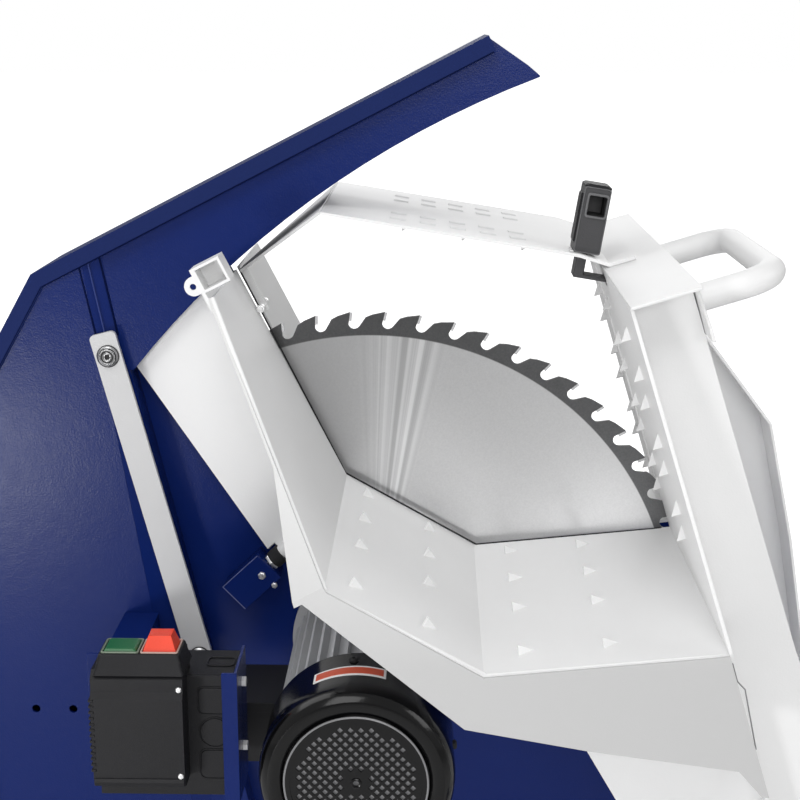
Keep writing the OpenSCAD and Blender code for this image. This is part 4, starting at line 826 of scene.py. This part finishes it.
PLATE_BEND = (-44.0, 464.0)
PLATE_END = (205.0, 424.0)
PLATE_ANGLE = math.atan2(PLATE_END[1] - PLATE_BEND[1], PLATE_END[0] - PLATE_BEND[0])
LATCH_X = 212.0
LATCH_S = (LATCH_X - PLATE_BEND[0]) / math.cos(PLATE_ANGLE)
MARK_COLUMNS = (66.0, 96.0, 126.0, 156.0, 186.0)
MARK_ROWS = (-64.0, -22.0, 88.0, 130.0)
MARK_LENGTH = 16.0
MARK_PROFILE = ((-8, 2.8), (-5, 4.4), (7, 3.4), (8, 2.8))
LATCH_FACE_Y = -97.8
POCKET_RIM = ((-9.4, 12.2, 37.8, 62.0, 3.2), (-7.1, 10.1, 40.2, 59.4, 1.6))
POCKET_RIM_Y = -99.6
BORDER = ((-13.0, 13.0, 3.3, 67.4, 2.5), (-11.9, 11.9, 4.6, 66.2, 1.8))
BORDER_Y = -98.8
LID_BOX = (LATCH_S - 13.2, LATCH_S + 13.2, -98.6, -61.6)
LID_LEVELS = ((0.0, 66.8), (0.0, 68.4), (2.4, 70.0))
SIDE_PAD_BOX = (-93.0, -67.0, 12.0, 60.0)
SIDE_PAD_LEVELS = ((0.0, 12.8), (0.0, 14.0), (1.2, 14.8))


def on_plate(s, y, z):
    """A point given along the plate, in depth, and above the plate's underside."""
    c, d = math.cos(PLATE_ANGLE), math.sin(PLATE_ANGLE)
    return at(PLATE_BEND[0] + s * c - z * d, y, PLATE_BEND[1] + s * d + z * c)


def dress_hold_down():
    """Pressed marks over the plate's spikes."""
    marks = []
    for s0 in MARK_COLUMNS:
        for y in MARK_ROWS:
            marks.append(loft([[on_plate(s, y + dy, z) for dy, z in MARK_PROFILE]
                               for s in (s0, s0 + MARK_LENGTH)]))
    piece("plate_marks", merged(marks), WHITE, "cradle", edge=0.5)


def latch_rim(boxes, y):
    """Frame on the latch's camera side, out to y, between two boxes (s0, s1, z0, z1, corner radius)."""
    outlines = [rounded(LATCH_S + s0, LATCH_S + s1, z0, z1, r) for s0, s1, z0, z1, r in boxes]
    return rim_of(*outlines, LATCH_FACE_Y, y, lambda outline, y: [on_plate(s, y, z) for s, z in outline])


def dress_latch():
    """Rim of the pocket and border of the front, both lighter grey as painted highlights, cap and side pad.
    """
    pocket = latch_rim(POCKET_RIM, POCKET_RIM_Y)
    piece("latch_pocket_rim", pocket, LATCH_HIGHLIGHT, "latch", edge=0.6)
    border = latch_rim(BORDER, BORDER_Y)
    piece("latch_border", border, LATCH_HIGHLIGHT, "latch", edge=0.4)
    lid = stacked(LID_BOX, 4.0, LID_LEVELS, lambda outline, z: [on_plate(s, y, z) for s, y in outline])
    piece("latch_lid", lid, CHARCOAL, "latch", edge=0.5)
    pad = stacked(SIDE_PAD_BOX, 3.5, SIDE_PAD_LEVELS,
                  lambda outline, d: [on_plate(LATCH_S - d, y, z) for y, z in outline])
    piece("latch_side_pad", pad, CHARCOAL, "latch", edge=0.4)


dress_switch()
dress_motor()
dress_bar_bolts()
dress_buffer()
draw_fold_lines()
dress_trough()
dress_hold_down()
dress_latch()

# Stage and light

FLOOR_REACH = 40.0
FLOOR_DROP = 0.0005
FLOOR_GREY = 0.82
GLOW_SPAN = (0.6, 3.0)
GLOW_NEAR = 0.42
AMBIENT = 0.42
REFLECTED = 0.58
PLAIN = (1, 1, 1, 1)


def lay_floor():
    """Pale floor that keeps the shadow near the machine, and is plain white further out."""
    r = FLOOR_REACH
    mesh = bpy.data.meshes.new("floor")
    mesh.from_pydata([(-r, -r, 0), (r, -r, 0), (r, r, 0), (-r, r, 0)], [], [(0, 1, 2, 3)])
    floor = bpy.data.objects.new("floor", mesh)
    bpy.context.scene.collection.objects.link(floor)
    floor.location.z = -FLOOR_DROP
    n = Nodes(bpy.data.materials.new("floor_white"))
    rays = n.add("ShaderNodeLightPath").outputs
    seen = n.maths("MAXIMUM", rays["Is Camera Ray"], rays["Is Transmission Ray"])
    glow = n.span(n.length(n.coords()), *GLOW_SPAN, GLOW_NEAR, 1.0)
    grey = (FLOOR_GREY, FLOOR_GREY, FLOOR_GREY, 1)
    diffuse = n.filled("ShaderNodeBsdfDiffuse", {"Color": grey})
    emission = n.filled("ShaderNodeEmission", {"Color": PLAIN, "Strength": n.maths("MULTIPLY", glow, seen)})
    total = n.filled("ShaderNodeAddShader", {0: diffuse.outputs[0], 1: emission.outputs[0]})
    n.surface(total.outputs[0])
    mesh.materials.append(n.owner)


def light_world():
    """White for the camera, dimmer as a light and in reflections."""
    world = bpy.data.worlds.new("studio")
    bpy.context.scene.world = world
    n = Nodes(world, "ShaderNodeOutputWorld")
    rays = n.add("ShaderNodeLightPath").outputs

    def background(strength):
        return n.filled("ShaderNodeBackground", {"Color": PLAIN, "Strength": strength}).outputs[0]

    shader = background(AMBIENT)
    for ray, strength in (("Is Glossy Ray", REFLECTED), ("Is Transmission Ray", 1.0), ("Is Camera Ray", 1.0)):
        values = {0: rays[ray], 1: shader, 2: background(strength)}
        shader = n.filled("ShaderNodeMixShader", values).outputs[0]
    n.surface(shader)


def softbox(name, place, target, size, power):
    data = bpy.data.lights.new(name, "AREA")
    data.shape = "RECTANGLE"
    data.size, data.size_y = size
    data.energy = power
    lamp = bpy.data.objects.new(name, data)
    lamp.location = place
    lamp.visible_camera = False
    lamp.rotation_euler = (Vector(target) - Vector(place)).to_track_quat("-Z", "Y").to_euler()
    bpy.context.scene.collection.objects.link(lamp)


lay_floor()
light_world()
softbox("key", (-0.7, -1.9, 3.3), (0, 0, 0.8), (1.5, 1.5), 28)
softbox("left_top", (-1.9, 0.2, 2.9), (0, 0, 0.9), (1.6, 1.6), 20)
softbox("front", (0.25, -3.3, 1.75), (0.15, 0, 0.85), (1.6, 1.0), 27)
softbox("right", (2.5, -0.8, 2.2), (0.2, 0, 0.8), (1.2, 1.2), 14)
softbox("back", (0.6, 2.8, 2.2), (0, 0, 0.7), (2.0, 2.0), 14)
softbox("low", (-1.04, -1.75, 0.36), (-0.46, 0, 0.86), (0.34, 0.22), 9.0)
